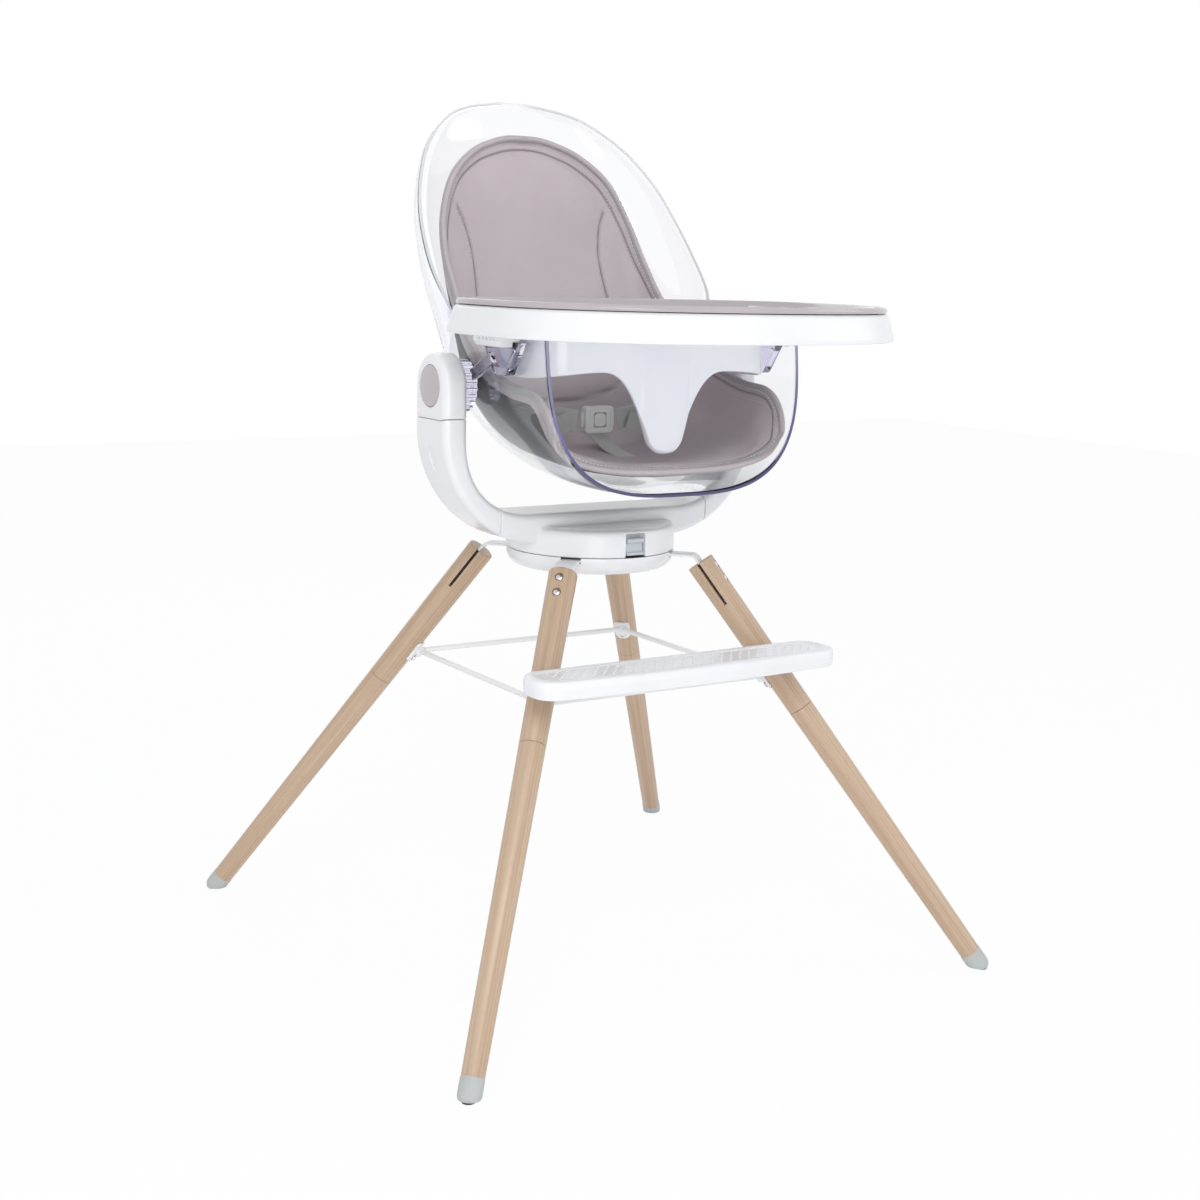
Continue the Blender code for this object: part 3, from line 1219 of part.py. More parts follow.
# ================================================================ assembly
def main():
    clear_scene()
    wood = material("beech", BEECH, 0.55)
    white = material("white_plastic", WHITE, 0.30)
    white_steel = material("white_steel", WHITE, 0.35, 0.1)
    rubber = material("grey_rubber", GREY, 0.65)
    steel = material("zinc_steel", STEEL, 0.30, 1.0)
    clear = material("clear_plastic", CLEAR, 0.05, 0.0, 0.25)
    leather = material("mauve_leather", MAUVE, 0.55)
    mauve = material("mauve_plastic", MAUVE, 0.35)
    latch_grey = material("latch_grey", (0.60, 0.63, 0.66), 0.35)
    web = material("grey_webbing", WEBBING, 0.85)
    buckle_grey = material("buckle_grey", (0.52, 0.55, 0.53), 0.40)

    swivel = axis_empty("swivel_axis", (0, 0, SEAM_HEIGHT))
    recline = axis_empty("recline_axis", (0, 0, PIVOT_HEIGHT), swivel)
    tray_slide = axis_empty("tray_slide_axis", (0, TRAY_CENTRE, TRAY_LOW), recline)

    quarter_pieces = {
        "leg_upper": (drill_saddle_screw(leg_upper()), wood),
        "leg_lower": (leg_lower(), wood),
        "foot_cap": (foot_cap(), rubber),
        "leg_bracket": (leg_bracket(), white_steel),
        "leg_screw_top": (leg_screw(SCREW_DEPTHS[0]), steel),
        "leg_screw_low": (leg_screw(SCREW_DEPTHS[1]), steel),
        "stretcher": (stretcher(), white_steel),
        "saddle_screw": (saddle_screw(), steel),
    }
    for kind, (first, look) in quarter_pieces.items():
        finish(first, kind, look)
        for corner, angle in QUARTERS.items():
            copy = bpy.data.objects.new(f"{kind}_{corner}", first.data)
            copy.rotation_euler = (0, 0, math.radians(angle))
            bpy.context.scene.collection.objects.link(copy)
        bpy.data.objects.remove(first, do_unlink=True)

    finish(footrest(), "footrest", white)
    finish(hub_bowl(), "hub_bowl", white)
    finish(clamp_plate(), "clamp_plate", steel)
    finish(pivot_bolt(), "pivot_bolt", steel)

    finish(turret(), "turret", white, swivel)
    finish(swivel_latch(), "swivel_latch", latch_grey, swivel, (0, latch_front(), LATCH_LOW))
    for side, word in ((-1, "left"), (1, "right")):
        pivot = (side * ARM_OUTER, 0, PIVOT_HEIGHT)
        finish(mirrored_pair(yoke_arm, side), f"yoke_arm_{word}", white, swivel)
        finish(mirrored_pair(arm_head, side), f"arm_head_{word}", white, swivel)
        finish(mirrored_pair(recline_button, side), f"recline_button_{word}", mauve, swivel, pivot)
        finish(mirrored_pair(recline_hub, side), f"recline_hub_{word}", clear, recline, (0, 0, PIVOT_HEIGHT))
        grip = ((TLATCH_INNER + TLATCH_OUTER) / 2 * side, (POST_FRONT + POST_REAR) / 2, TLATCH_LOW)
        finish(mirrored_pair(tray_latch, side), f"tray_latch_{word}", white, tray_slide, grip)
        finish(mirrored_pair(waist_strap, side), f"waist_strap_{word}", web, recline)
        finish(mirrored_pair(buckle_tongue, side), f"buckle_tongue_{word}", buckle_grey, recline)

    finish(seat_shell(), "seat_shell", clear, recline, (0, 0, PIVOT_HEIGHT))
    finish(seat_pad(), "seat_pad", leather, recline)
    finish(crotch_strap(), "crotch_strap", web, recline)
    finish(buckle_body(), "buckle_body", buckle_grey, recline)
    key_face = (0, BUCKLE_Y - BUCKLE_HALF_DEPTH, BUCKLE_Z)
    finish(buckle_button(), "buckle_button", buckle_grey, recline, key_face)
    finish(tray_base(), "tray_base", white, tray_slide)
    finish(tray_insert(), "tray_insert", mauve, tray_slide, (0, TRAY_CENTRE, TRAY_FLOOR))
    finish(tray_apron(), "tray_apron", white, tray_slide)


main()
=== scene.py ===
"""Looks for the baby high chair: finished surfaces, padding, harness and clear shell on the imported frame."""
from math import asin, atan2, copysign, cos, hypot, pi, radians, sin, sqrt, tan

import bmesh
import bpy
import numpy as np
from mathutils import Matrix, Vector


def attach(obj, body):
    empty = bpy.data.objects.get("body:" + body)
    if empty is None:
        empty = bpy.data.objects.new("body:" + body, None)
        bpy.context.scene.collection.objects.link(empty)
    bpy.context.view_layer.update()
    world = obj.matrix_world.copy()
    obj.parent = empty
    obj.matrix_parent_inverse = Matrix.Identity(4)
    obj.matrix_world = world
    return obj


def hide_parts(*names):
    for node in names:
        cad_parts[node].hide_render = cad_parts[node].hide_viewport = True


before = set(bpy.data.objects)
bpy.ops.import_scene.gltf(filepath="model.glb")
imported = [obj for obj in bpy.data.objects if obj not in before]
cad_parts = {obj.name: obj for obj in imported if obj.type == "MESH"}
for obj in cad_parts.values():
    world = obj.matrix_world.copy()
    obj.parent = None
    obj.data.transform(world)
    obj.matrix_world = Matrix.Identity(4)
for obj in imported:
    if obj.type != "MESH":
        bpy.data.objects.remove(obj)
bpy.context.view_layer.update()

SCENE = bpy.context.scene

# ---------------------------------------------------------------- driving sizes, metres
GAP = 0.0003
FOOT_SPREAD = 0.5077
LEG_TOP_REACH = 0.139
LEG_TOP_HEIGHT = 0.4848
LEG_TOP_RADIUS = 0.017
LEG_FOOT_RADIUS = 0.0125
CAP_LENGTH = 0.024
BAR_WIDTH = 0.024
BLADE = 0.0030
BAR_HEIGHT = LEG_TOP_HEIGHT + 0.0084
BAR_TAIL = 0.055
SCREW_DEPTHS = (0.013, 0.0325)
SCREW_HEAD_RADIUS = 0.0044
SCREW_HEAD_HEIGHT = 0.0026
STRETCHER_HEIGHT = LEG_TOP_HEIGHT - 0.1368
ROD_RADIUS = 0.0034
ROD_STANDOFF = 0.0022
SADDLE_WIDTH = 0.022
SADDLE_ABOVE = 0.012
SADDLE_BELOW = 0.019
SADDLE_SCREW = 0.007
SADDLE_THICKNESS = 0.0022
BOSS_RADIUS = 0.0068
BOSS_LENGTH = 0.0062
LEG_JOINT_HEIGHT = STRETCHER_HEIGHT - 0.036
REST_UNDERSIDE = STRETCHER_HEIGHT + 0.0255
REST_TOP = REST_UNDERSIDE + 0.0215
REST_BOW = 0.008
REST_CORNER = 0.026
HUB_RADIUS = 0.1035
HUB_BOTTOM = BAR_HEIGHT - 0.0192
SEAM_HEIGHT = BAR_HEIGHT + 0.0038
SEAT_HALF_WIDTH = 0.1750
RIB_HUB_INNER = SEAT_HALF_WIDTH * 1.017
TURRET_RADIUS = HUB_RADIUS + 0.0005
TURRET_SHOULDER = SEAM_HEIGHT + 0.032
YOKE_BOTTOM = SEAM_HEIGHT + 0.013
YOKE_TOP = YOKE_BOTTOM + 0.036
YOKE_HALF_DEPTH = 0.038
PIVOT = YOKE_BOTTOM + 0.187
ARM_INNER = RIB_HUB_INNER + 0.015
ARM_THICKNESS = 0.031
ARM_OUTER = ARM_INNER + ARM_THICKNESS
ARM_SPLIT = ARM_INNER - 0.045
ARM_SEAM = PIVOT - 0.036
ARM_BEND = PIVOT - 0.049
ARM_INNER_BEND = PIVOT - 0.057
BUTTON_RADIUS = 0.024
RIB_HUB_RADIUS = 0.031
SHELL_WALL = 0.0036
POST_TOP = PIVOT + 0.0555
POST_BOTTOM = PIVOT + 0.018
POST_FRONT = -0.136
POST_REAR = -0.054
POST_TAPER = 0.026
POST_INNER = SEAT_HALF_WIDTH + GAP
POST_OUTER = SEAT_HALF_WIDTH + 0.011
PAD_THICKNESS = 0.0100
PAD_ROOM = SEAT_HALF_WIDTH - SHELL_WALL - PAD_THICKNESS
TRAY_HALF_WIDTH = SEAT_HALF_WIDTH + 0.076
TRAY_CENTRE = -0.190
TRAY_FRONT = -0.371
TRAY_REAR = -0.012
TRAY_LOW = PIVOT + 0.064
TRAY_RIM = TRAY_LOW + 0.032
TRAY_FLOOR = TRAY_LOW + 0.013
INSERT_RIM = TRAY_RIM + 0.0075
CUP_RADIUS = 0.037
CUP_X = TRAY_HALF_WIDTH - 0.081
CUP_Y = -0.150
APRON_FRONT = -0.1500
APRON_HALF_WIDTH = SEAT_HALF_WIDTH - 0.015
APRON_CORNER = 0.045
APRON_REAR = -0.062
APRON_EDGE = PIVOT + 0.0155
APRON_LOBE = PIVOT + 0.023
LOBE_CENTRE = 0.085
CROTCH_LOW = PIVOT - 0.068
CROTCH_HALF_WIDTH = 0.0230
CROTCH_ROUND = 0.012
BUCKLE_Y = -0.010
BUCKLE_Z = PIVOT - 0.043
STRAP_REACH = SEAT_HALF_WIDTH * 0.668

SHELL_STATIONS = (
    (-0.173, 0.0612, -0.195, -0.115, 0.994, 3.1, 0.000),
    (-0.100, 0.0605, -0.100, -0.115, 1.000, 3.0, 0.000),
    (-0.030, 0.0580, 0.000, -0.101, 1.003, 2.8, 0.000),
    (0.012, 0.073, 0.076, -0.061, 1.046, 2.5, 0.000),
    (0.036, 0.111, 0.120, 0.001, 1.109, 2.1, 0.000),
    (0.067, 0.150, 0.156, 0.068, 1.114, 2.0, 0.001),
    (0.103, 0.200, 0.186, 0.145, 1.069, 2.0, 0.002),
    (0.132, 0.246, 0.204, 0.215, 0.977, 2.0, 0.002),
    (0.162, 0.288, 0.214, 0.271, 0.823, 2.0, 0.001),
    (0.188, 0.320, 0.216, 0.312, 0.600, 2.0, 0.000),
    (0.200, 0.334, 0.214, 0.331, 0.400, 2.0, 0.000),
    (0.208, 0.342, 0.212, 0.341, 0.126, 2.0, 0.000),
)
PAD_STATIONS = (
    (-0.172, -0.046, -0.181, -0.083, 0.950, 2.6),
    (-0.158, -0.016, -0.168, -0.085, 0.968, 2.6),
    (-0.134, 0.000, -0.142, -0.087, 0.970, 2.6),
    (-0.085, 0.006, -0.095, -0.088, 0.970, 2.6),
    (-0.020, 0.025, -0.010, -0.081, 0.964, 2.6),
    (0.038, 0.063, 0.058, -0.057, 0.932, 2.4),
    (0.080, 0.106, 0.098, 0.018, 0.888, 2.3),
    (0.114, 0.151, 0.130, 0.103, 0.862, 2.2),
    (0.137, 0.198, 0.155, 0.178, 0.806, 2.1),
    (0.154, 0.243, 0.172, 0.241, 0.675, 2.0),
    (0.169, 0.273, 0.178, 0.273, 0.465, 2.0),
    (0.1765, 0.2865, 0.1785, 0.2870, 0.260, 2.0),
    (0.1790, 0.2910, 0.1800, 0.2912, 0.130, 2.0),
    (0.1795, 0.2922, 0.1803, 0.2923, 0.030, 2.0),
)


# ================================================================ materials
def linear(*rgb):
    """sRGB bytes as linear colour."""
    shares = [value / 255 for value in rgb]
    return (*(s / 12.92 if s <= 0.04045 else ((s + 0.055) / 1.055) ** 2.4 for s in shares), 1.0)


class Nodes:
    """A node tree with short ways to add to it."""

    def __init__(self, owner, **sockets):
        owner.use_nodes = True
        self.owner, self.tree = owner, owner.node_tree
        self.main = self.tree.nodes.get("Principled BSDF")
        for socket, value in sockets.items():
            self.main.inputs[socket.replace("_", " ")].default_value = value

    def put(self, socket, value):
        if isinstance(value, bpy.types.NodeSocket):
            self.tree.links.new(value, socket)
        else:
            socket.default_value = value

    def add(self, kind, output=0, **settings):
        """New node with its inputs and properties set; returns one of its outputs."""
        made = self.tree.nodes.new("ShaderNode" + kind)
        for key, value in settings.items():
            socket = key.replace("_", " ")
            if socket in made.inputs.keys():
                self.put(made.inputs[socket], value)
            else:
                setattr(made, key, value)
        return made.outputs[output]

    def math(self, operation, *values):
        made = self.tree.nodes.new("ShaderNodeMath")
        made.operation = operation
        for socket, value in zip(made.inputs, values):
            self.put(socket, value)
        return made.outputs[0]

    def where(self, scale=(1, 1, 1), output="Object"):
        return self.add("Mapping", Vector=self.add("TexCoord", output), Scale=scale)

    def noise(self, scale, detail=3.0, rough=0.5, at=None):
        at = self.where() if at is None else at
        return self.add("TexNoise", "Fac", Scale=scale, Detail=detail, Roughness=rough, Vector=at)

    def ramp(self, factor, *stops):
        output = self.add("ValToRGB", Fac=factor)
        elements = output.node.color_ramp.elements
        while len(elements) < len(stops):
            elements.new(0.5)
        for element, (place, colour) in zip(elements, stops):
            element.position = place
            element.color = colour
        return output

    def tones(self, factor, first, second):
        return self.ramp(factor, (0.3, first), (0.7, second))

    def mix(self, factor, first, second):
        return self.add("Mix", "Result", data_type="RGBA", Factor=factor, A=first, B=second)

    def seen(self):
        """1 for camera, glossy and transmission rays."""
        camera, glossy, through = (self.add("LightPath", f"Is {kind} Ray")
                                   for kind in ("Camera", "Glossy", "Transmission"))
        return self.math("MAXIMUM", camera, self.math("MAXIMUM", glossy, through))

    def blend(self, factor, first, second, output):
        mixer = self.tree.nodes.new("ShaderNodeMixShader")
        for socket, value in zip(mixer.inputs, (factor, first, second)):
            self.put(socket, value)
        self.put(self.tree.nodes[output].inputs["Surface"], mixer.outputs[0])

    def surface(self, colour, height=None, depth=0.0, strength=1.0, gloss=None, low=0.0, high=1.0):
        """Colour, relief and gloss of the principled shader."""
        self.put(self.main.inputs["Base Color"], colour)
        if height is not None:
            relief = self.add("Bump", Strength=strength, Distance=depth, Height=height)
            self.put(self.main.inputs["Normal"], relief)
        if gloss is not None:
            self.put(self.main.inputs["Roughness"], self.add("MapRange", Value=gloss, To_Min=low, To_Max=high))
        return self.owner


def look_nodes(name, roughness, **sockets):
    return Nodes(bpy.data.materials.new(name), Roughness=roughness, **sockets)


def plastic(name, first, second, rough=(0.24, 0.34), grain=900, depth=0.00004, **sockets):
    """Moulded plastic: faint flow tones, fine mould texture and uneven gloss."""
    look = look_nodes(name, rough[0], **sockets)
    flow = look.tones(look.noise(9.0, 4.0), linear(*first), linear(*second))
    return look.surface(flow, look.noise(grain, 2.0), depth, 0.6, look.noise(55.0, 5.0, 0.6), *rough)


def beech():
    """Lacquered beech: long grain, short dark flecks, growth bands and a little tone drift."""
    look = look_nodes("beech_wood", 0.42, Coat_Weight=0.22, Coat_Roughness=0.28)
    grain = look.noise(1.0, 7.0, 0.62, look.where((130, 130, 3.2)))
    bands = look.add("TexWave", "Fac", Scale=1.0, Distortion=5.0, Detail=3.0, Detail_Scale=1.4,
                     Vector=look.where((95, 30, 1.6)))
    drift = look.noise(1.0, at=look.where((9, 9, 3)))
    mixed = look.math("MULTIPLY_ADD", grain, 0.62, look.math("MULTIPLY", bands, 0.13))
    mixed = look.math("ADD", mixed, look.math("MULTIPLY", drift, 0.30))
    colour = look.ramp(mixed, (0.26, linear(172, 141, 115)), (0.44, linear(190, 162, 135)),
                       (0.58, linear(199, 172, 146)), (0.78, linear(213, 189, 163)))
    flecks = look.noise(1.0, 1.0, at=look.where((1500, 1500, 95)))
    mask = look.ramp(flecks, (0.66, (0, 0, 0, 1)), (0.74, (1, 1, 1, 1)))
    colour = look.mix(look.math("MULTIPLY", mask, 0.35), colour, linear(150, 112, 80))
    pores = look.math("SUBTRACT", grain, look.math("MULTIPLY", mask, 0.5))
    return look.surface(colour, pores, 0.00005, 0.35, grain, 0.34, 0.50)


def leather(name, light, dark, pebble=950.0, depth=0.00022, crease=True):
    """PU leather: pebbled grain, soft creases, tone drift and a satin sheen, with painted shade darkening the sunken
    seam grooves.
    """
    look = look_nodes(name, 0.5, Sheen_Weight=0.12, Sheen_Roughness=0.4, Coat_Weight=0.06, Coat_Roughness=0.35)
    cells = look.add("TexVoronoi", "Distance", feature="SMOOTH_F1", Scale=pebble, Smoothness=0.6, Vector=look.where())
    height = look.math("SUBTRACT", look.math("MULTIPLY", look.noise(160.0), 0.9), cells)
    if crease:
        folds = look.noise(1.0, 4.0, 0.65, look.where((28, 60, 60)))
        height = look.math("ADD", height, look.math("MULTIPLY", folds, 2.2))
    tone = look.tones(look.noise(7.0, 6.0, 0.62), linear(*dark), linear(*light))
    # painted shade: the colour darkens along the sunken seams
    seam_shade = look.math("MULTIPLY", look.add("Attribute", "Fac", attribute_name="painted_seam_shade"), 0.85)
    colour = look.mix(seam_shade, tone, linear(104, 97, 101))
    return look.surface(colour, height, depth, 0.8, look.noise(70.0, 4.0), 0.42, 0.58)


def weave(name, light, dark, scale=520.0, output="Object", depth=0.0003):
    """Plain woven cloth or webbing: crossing waves with fuzz between the yarns."""
    look = look_nodes(name, 0.82, Sheen_Weight=0.25, Sheen_Roughness=0.5)
    where = look.where(output=output)
    yarn = look.math("MULTIPLY", *(
        look.add("TexWave", "Fac", bands_direction=way, Scale=scale, Distortion=0.25, Detail=1.0, Vector=where)
        for way in ("X", "DIAGONAL" if output == "UV" else "Z")))
    height = look.math("ADD", yarn, look.math("MULTIPLY", look.noise(700.0, 4.0, at=where), 0.5))
    drift = look.math("MULTIPLY", look.noise(12.0, 4.0, at=where), 0.8)
    tone = look.tones(look.math("ADD", look.math("MULTIPLY", yarn, 0.35), drift), linear(*dark), linear(*light))
    return look.surface(tone, height, depth, 0.9)


def steel(name, tone, rough):
    look = look_nodes(name, rough, Metallic=1.0)
    colour = look.tones(look.noise(60.0, 4.0), (*tone, 1), (tone[0] * 0.86, tone[1] * 0.86, tone[2] * 0.88, 1))
    return look.surface(colour, look.noise(1600.0, 2.0), 0.00002, 0.5, look.noise(400.0, 5.0, 0.7), rough * 0.7,
                        rough * 1.5)


def clear(name, first, second, rough=0.015):
    """Clear moulded shell with faint flow waves in its surface."""
    look = look_nodes(name, rough, IOR=1.49, Transmission_Weight=1.0, Specular_IOR_Level=0.3)
    colour = look.tones(look.noise(5.0, 2.0), (*first, 1), (*second, 1))
    return look.surface(colour, look.noise(22.0, 1.0), 0.0002, 0.18, look.noise(40.0), rough * 0.4, rough * 1.8)


def edge_look():
    """Edge of the clear shell: light gathered in the wall, painted by height as a dark violet shade low at the front
    and a pale painted highlight up the hood; the violet is partly the plastic's own tint.
    """
    look = look_nodes("clear_shell_edge", 0.12, IOR=1.49, Transmission_Weight=0.18)
    height = look.math("ADD", look.add("SeparateXYZ", "Z", Vector=look.where()),
                       look.math("MULTIPLY", look.noise(14.0), 0.06))
    # painted shade low at the front, painted light up the hood
    colour = look.ramp(height, (0.60, linear(84, 82, 122)), (0.69, linear(108, 103, 162)),
                       (0.76, linear(168, 166, 204)), (0.84, linear(232, 233, 240)), (0.95, linear(246, 247, 250)))
    return look.surface(colour, gloss=look.noise(60.0), low=0.06, high=0.2)


WHITE = plastic("white_moulded", (236, 237, 240), (242, 243, 245), (0.20, 0.30), Coat_Weight=0.12)
# painted light: a lighter copy of the white plastic for the apron, which hangs in the tray's shade
APRON_WHITE_LIT = plastic("apron_moulded_painted_light", (240, 242, 249), (246, 247, 252), (0.10, 0.18), Coat_Weight=0.3)
POWDER = plastic("white_powder_coat", (238, 239, 240), (244, 244, 245), (0.30, 0.42), 1400, 0.00008)
WOOD = beech()
RUBBER = plastic("grey_rubber_moulded", (182, 187, 186), (194, 198, 196), (0.55, 0.7), 700, 0.0001)
DARK_RUBBER = plastic("dark_rubber", (58, 60, 62), (70, 72, 74), (0.6, 0.75), 700, 0.0001)
# painted shadow: a near-black look for faces down inside slots, where shade falls
SHADOW_GAP = plastic("painted_slot_shadow", (56, 53, 52), (68, 65, 63), (0.7, 0.85))
STEEL = steel("chromed_steel", (0.80, 0.81, 0.82), 0.18)
CLEAR = clear("clear_shell", (0.955, 0.957, 0.985), (0.970, 0.972, 0.990))
CLEAR_TINT = clear("clear_tinted", (0.74, 0.72, 0.88), (0.81, 0.79, 0.92), 0.03)
CLEAR_EDGE = edge_look()
LEATHER = leather("pad_leather", (198, 188, 192), (188, 178, 182))
BINDING = leather("binding_leather", (178, 174, 175), (168, 164, 165), 1300, 0.00014, False)
THREAD = weave("sewing_thread", (226, 222, 223), (204, 199, 201), 2200, depth=0.0001)
UNDERSIDE = weave("pad_underside_cloth", (54, 60, 66), (42, 48, 54), 480)
INSERT = plastic("liner_gloss", (180, 173, 176), (187, 180, 183), (0.08, 0.15), 500, 0.00002, Coat_Weight=0.35,
                 Coat_Roughness=0.06)
MAUVE_BUTTON = plastic("button_gloss", (184, 176, 180), (192, 184, 188), (0.10, 0.18), 600, 0.00002,
                       Coat_Weight=0.3, Coat_Roughness=0.08)
LATCH_GREY = plastic("latch_moulded", (192, 198, 205), (200, 206, 212), (0.26, 0.36))
WEBBING = weave("grey_webbing_weave", (235, 238, 234), (210, 214, 210), 330, "UV", 0.0005)
BUCKLE = plastic("buckle_moulded", (234, 237, 234), (240, 242, 239), (0.34, 0.48), 1100, 0.0001)


# ================================================================ mesh helpers
def linked(name, data):
    made = bpy.data.objects.new(name, data)
    SCENE.collection.objects.link(made)
    return made


def discard(target):
    bpy.data.objects.remove(target, do_unlink=True)


def shade(target, angle=32):
    target.data.shade_smooth()
    target.data.set_sharp_from_angle(angle=radians(angle))
    return target


def build(name, verts, faces, angle=32):
    """Object from points and faces, turned outward, shaded smooth with sharp edges past an angle."""
    mesh = bpy.data.meshes.new(name)
    mesh.from_pydata([tuple(map(float, v)) for v in verts], [], [tuple(map(int, f)) for f in faces])
    made = bmesh.new()
    made.from_mesh(mesh)
    bmesh.ops.recalc_face_normals(made, faces=made.faces)
    made.to_mesh(mesh)
    made.free()
    return shade(linked(name, mesh), angle)


def quads(rows, columns, start=0, around=False):
    """Faces of a grid of vertices, with its columns joined round when asked."""
    index = start + np.arange(rows * columns).reshape(rows, columns)
    if around:
        index = np.hstack([index, index[:, :1]])
    corners = (index[:-1, :-1], index[:-1, 1:], index[1:, 1:], index[1:, :-1])
    return np.stack(corners, -1).reshape(-1, 4).tolist()


def end_caps(rows, columns):
    return [tuple(reversed(range(columns))), tuple(range((rows - 1) * columns, rows * columns))]


def loft(name, rings, angle=32):
    rings = np.array([[tuple(p) for p in ring] for ring in rings], float)
    size = rings.shape[:2]
    return build(name, rings.reshape(-1, 3), quads(*size, around=True) + end_caps(*size), angle)


def lathe(name, profile, sides=64, angle=32):
    """Turns an open (radius, height) profile about Z; its ends are on the axis or closed onto each other."""
    turns = [2 * pi * (side + 0.5) / sides for side in range(sides)]
    verts, rows, faces = [], [], []
    for radius, height in profile:
        single = radius < 1e-7
        rows.append([len(verts) + (0 if single else side) for side in range(sides)])
        verts += [(radius * cos(t), radius * sin(t), height) for t in (turns[:1] if single else turns)]
    if profile[0][0] > 1e-7:
        rows.append(rows[0])
    for lower, upper in zip(rows, rows[1:]):
        for side in range(sides):
            after = (side + 1) % sides
            face = tuple(dict.fromkeys((lower[side], lower[after], upper[after], upper[side])))
            if len(face) > 2:
                faces.append(face)
    return build(name, verts, faces, angle)


def fillet(points, radii, steps=5, closed=True):
    """Rounds the corners of a flat polyline; radii is one number or one for each point."""
    points = [Vector(p[:2]) for p in points]
    count = len(points)
    radii = [radii] * count if isinstance(radii, (int, float)) else radii
    made = []
    for i, point in enumerate(points):
        before, after = points[i - 1] - point, points[(i + 1) % count] - point
        sharp = radii[i] <= 0 or (not closed and i in (0, count - 1))
        turn = pi if sharp else before.angle(after)
        if turn > pi - 0.03:
            made.append(tuple(point))
            continue
        reach = min(radii[i] / tan(turn / 2), before.length * 0.48, after.length * 0.48)
        start, end = point + before.normalized() * reach, point + after.normalized() * reach
        for t in (step / steps for step in range(steps + 1)):
            made.append(tuple(start * (1 - t) ** 2 + point * 2 * t * (1 - t) + end * t * t))
    return made


def rect(low_x, low_y, high_x, high_y):
    return [(low_x, low_y), (high_x, low_y), (high_x, high_y), (low_x, high_y)]


def centred(half_x, half_y, x=0.0, y=0.0):
    return rect(x - half_x, y - half_y, x + half_x, y + half_y)


def prism(name, outline, low, high, axis="Z", soft=0.0, steps=3):
    put = {"Z": lambda u, v, w: (u, v, w), "Y": lambda u, v, w: (u, w, v), "X": lambda u, v, w: (w, u, v)}[axis]
    made = loft(name, [[put(p[0], p[1], level) for p in outline] for level in (low, high)])
    return soften(made, soft, steps) if soft else made


def block(name, low, high, soft=0.0):
    return prism(name, rect(low[0], low[1], high[0], high[1]), low[2], high[2], soft=soft)


def baked(target, angle=32):
    bpy.context.view_layer.update()
    graph = bpy.context.evaluated_depsgraph_get()
    mesh = bpy.data.meshes.new_from_object(target.evaluated_get(graph))
    target.modifiers.clear()
    target.data = mesh
    return shade(target, angle)


def soften(target, width, steps=3, limit=30):
    step = target.modifiers.new("bevel", "BEVEL")
    step.width = width
    step.segments = steps
    step.limit_method = "ANGLE"
    step.angle_limit = radians(limit)
    return baked(target)


def combine(target, tool, operation):
    step = target.modifiers.new("boolean", "BOOLEAN")
    step.operation = operation
    step.object = tool
    step.solver = "EXACT"
    baked(target)
    discard(tool)
    return target


def cut(target, *tools):
    for tool in tools:
        combine(target, tool, "DIFFERENCE")
    return target


def union(target, *tools):
    for tool in tools:
        combine(target, tool, "UNION")
    return target


def moved(target, matrix):
    target.data.transform(matrix)
    if matrix.to_3x3().determinant() < 0:
        target.data.flip_normals()
    return target


def spin(degrees, axis="Z"):
    return Matrix.Rotation(radians(degrees), 4, axis)


def shift(x, y, z):
    return Matrix.Translation((x, y, z))


def rod(name, start, end, radius, sides=40, soft=0.0):
    start, end = Vector(start), Vector(end)
    tall = (end - start).length
    made = lathe(name, fillet([(0, 0), (radius, 0), (radius, tall), (0, tall)], soft, 5, False), sides)
    turn = Vector((0, 0, 1)).rotation_difference(end - start).to_matrix().to_4x4()
    return moved(made, shift(*start) @ turn)


def dress(target, look, body, slot, *nodes, faces=None):
    """Material, body and CAD nodes of a finished piece; faces holds each face's place in a tuple of looks."""
    target.data.materials.clear()
    for one in look if isinstance(look, tuple) else (look,):
        target.data.materials.append(one)
    if faces is not None:
        target.data.polygons.foreach_set("material_index", faces)
    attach(target, body)
    if nodes:
        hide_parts(*nodes)
    return target


def both_sides(right, look, body, slot, kind):
    """Dresses the right piece and its mirror image; a body named after the piece has a side of its own."""
    copy = linked(f"{kind}_left_finish", right.data.copy())
    left = moved(copy, Matrix.Scale(-1, 4, (1, 0, 0)))
    for piece, side in ((right, "right"), (left, "left")):
        dress(piece, look, f"{kind}_{side}" if body == kind else body, slot, f"{kind}_{side}")
    return left, right


def length(vectors):
    return np.linalg.norm(vectors, axis=-1)


def unit(vectors):
    return vectors / np.maximum(length(vectors)[..., None], 1e-12)


def run_along(points):
    return np.concatenate([[0], np.cumsum(length(np.diff(points, axis=0)))])


def read(want, run, points):
    return np.stack([np.interp(want, run, points[:, k]) for k in range(points.shape[1])], 1)


def square_to(vectors, line):
    """Unit vectors with their part along the line taken away."""
    return unit(vectors - line * np.sum(vectors * line, 1, keepdims=True))


def spline(rows, count):
    """Catmull-Rom curve through rows of numbers, read at even steps."""
    rows = np.array(rows, float)
    rows = np.vstack([2 * rows[0] - rows[1], rows, 2 * rows[-1] - rows[-2]])
    place = np.linspace(0, len(rows) - 3, count)
    i = np.minimum(place.astype(int), len(rows) - 4)
    t = (place - i)[:, None]
    a, b, c, d = rows[i], rows[i + 1], rows[i + 2], rows[i + 3]
    return 0.5 * (2 * b + (c - a) * t + (2 * a - 5 * b + 4 * c - d) * t ** 2 + (3 * b - a - 3 * c + d) * t ** 3)


def even(points, count):
    """The same line with evenly spaced points."""
    points = np.asarray(points, float)
    run = run_along(points)
    return read(np.linspace(0, run[-1], count), run, points)


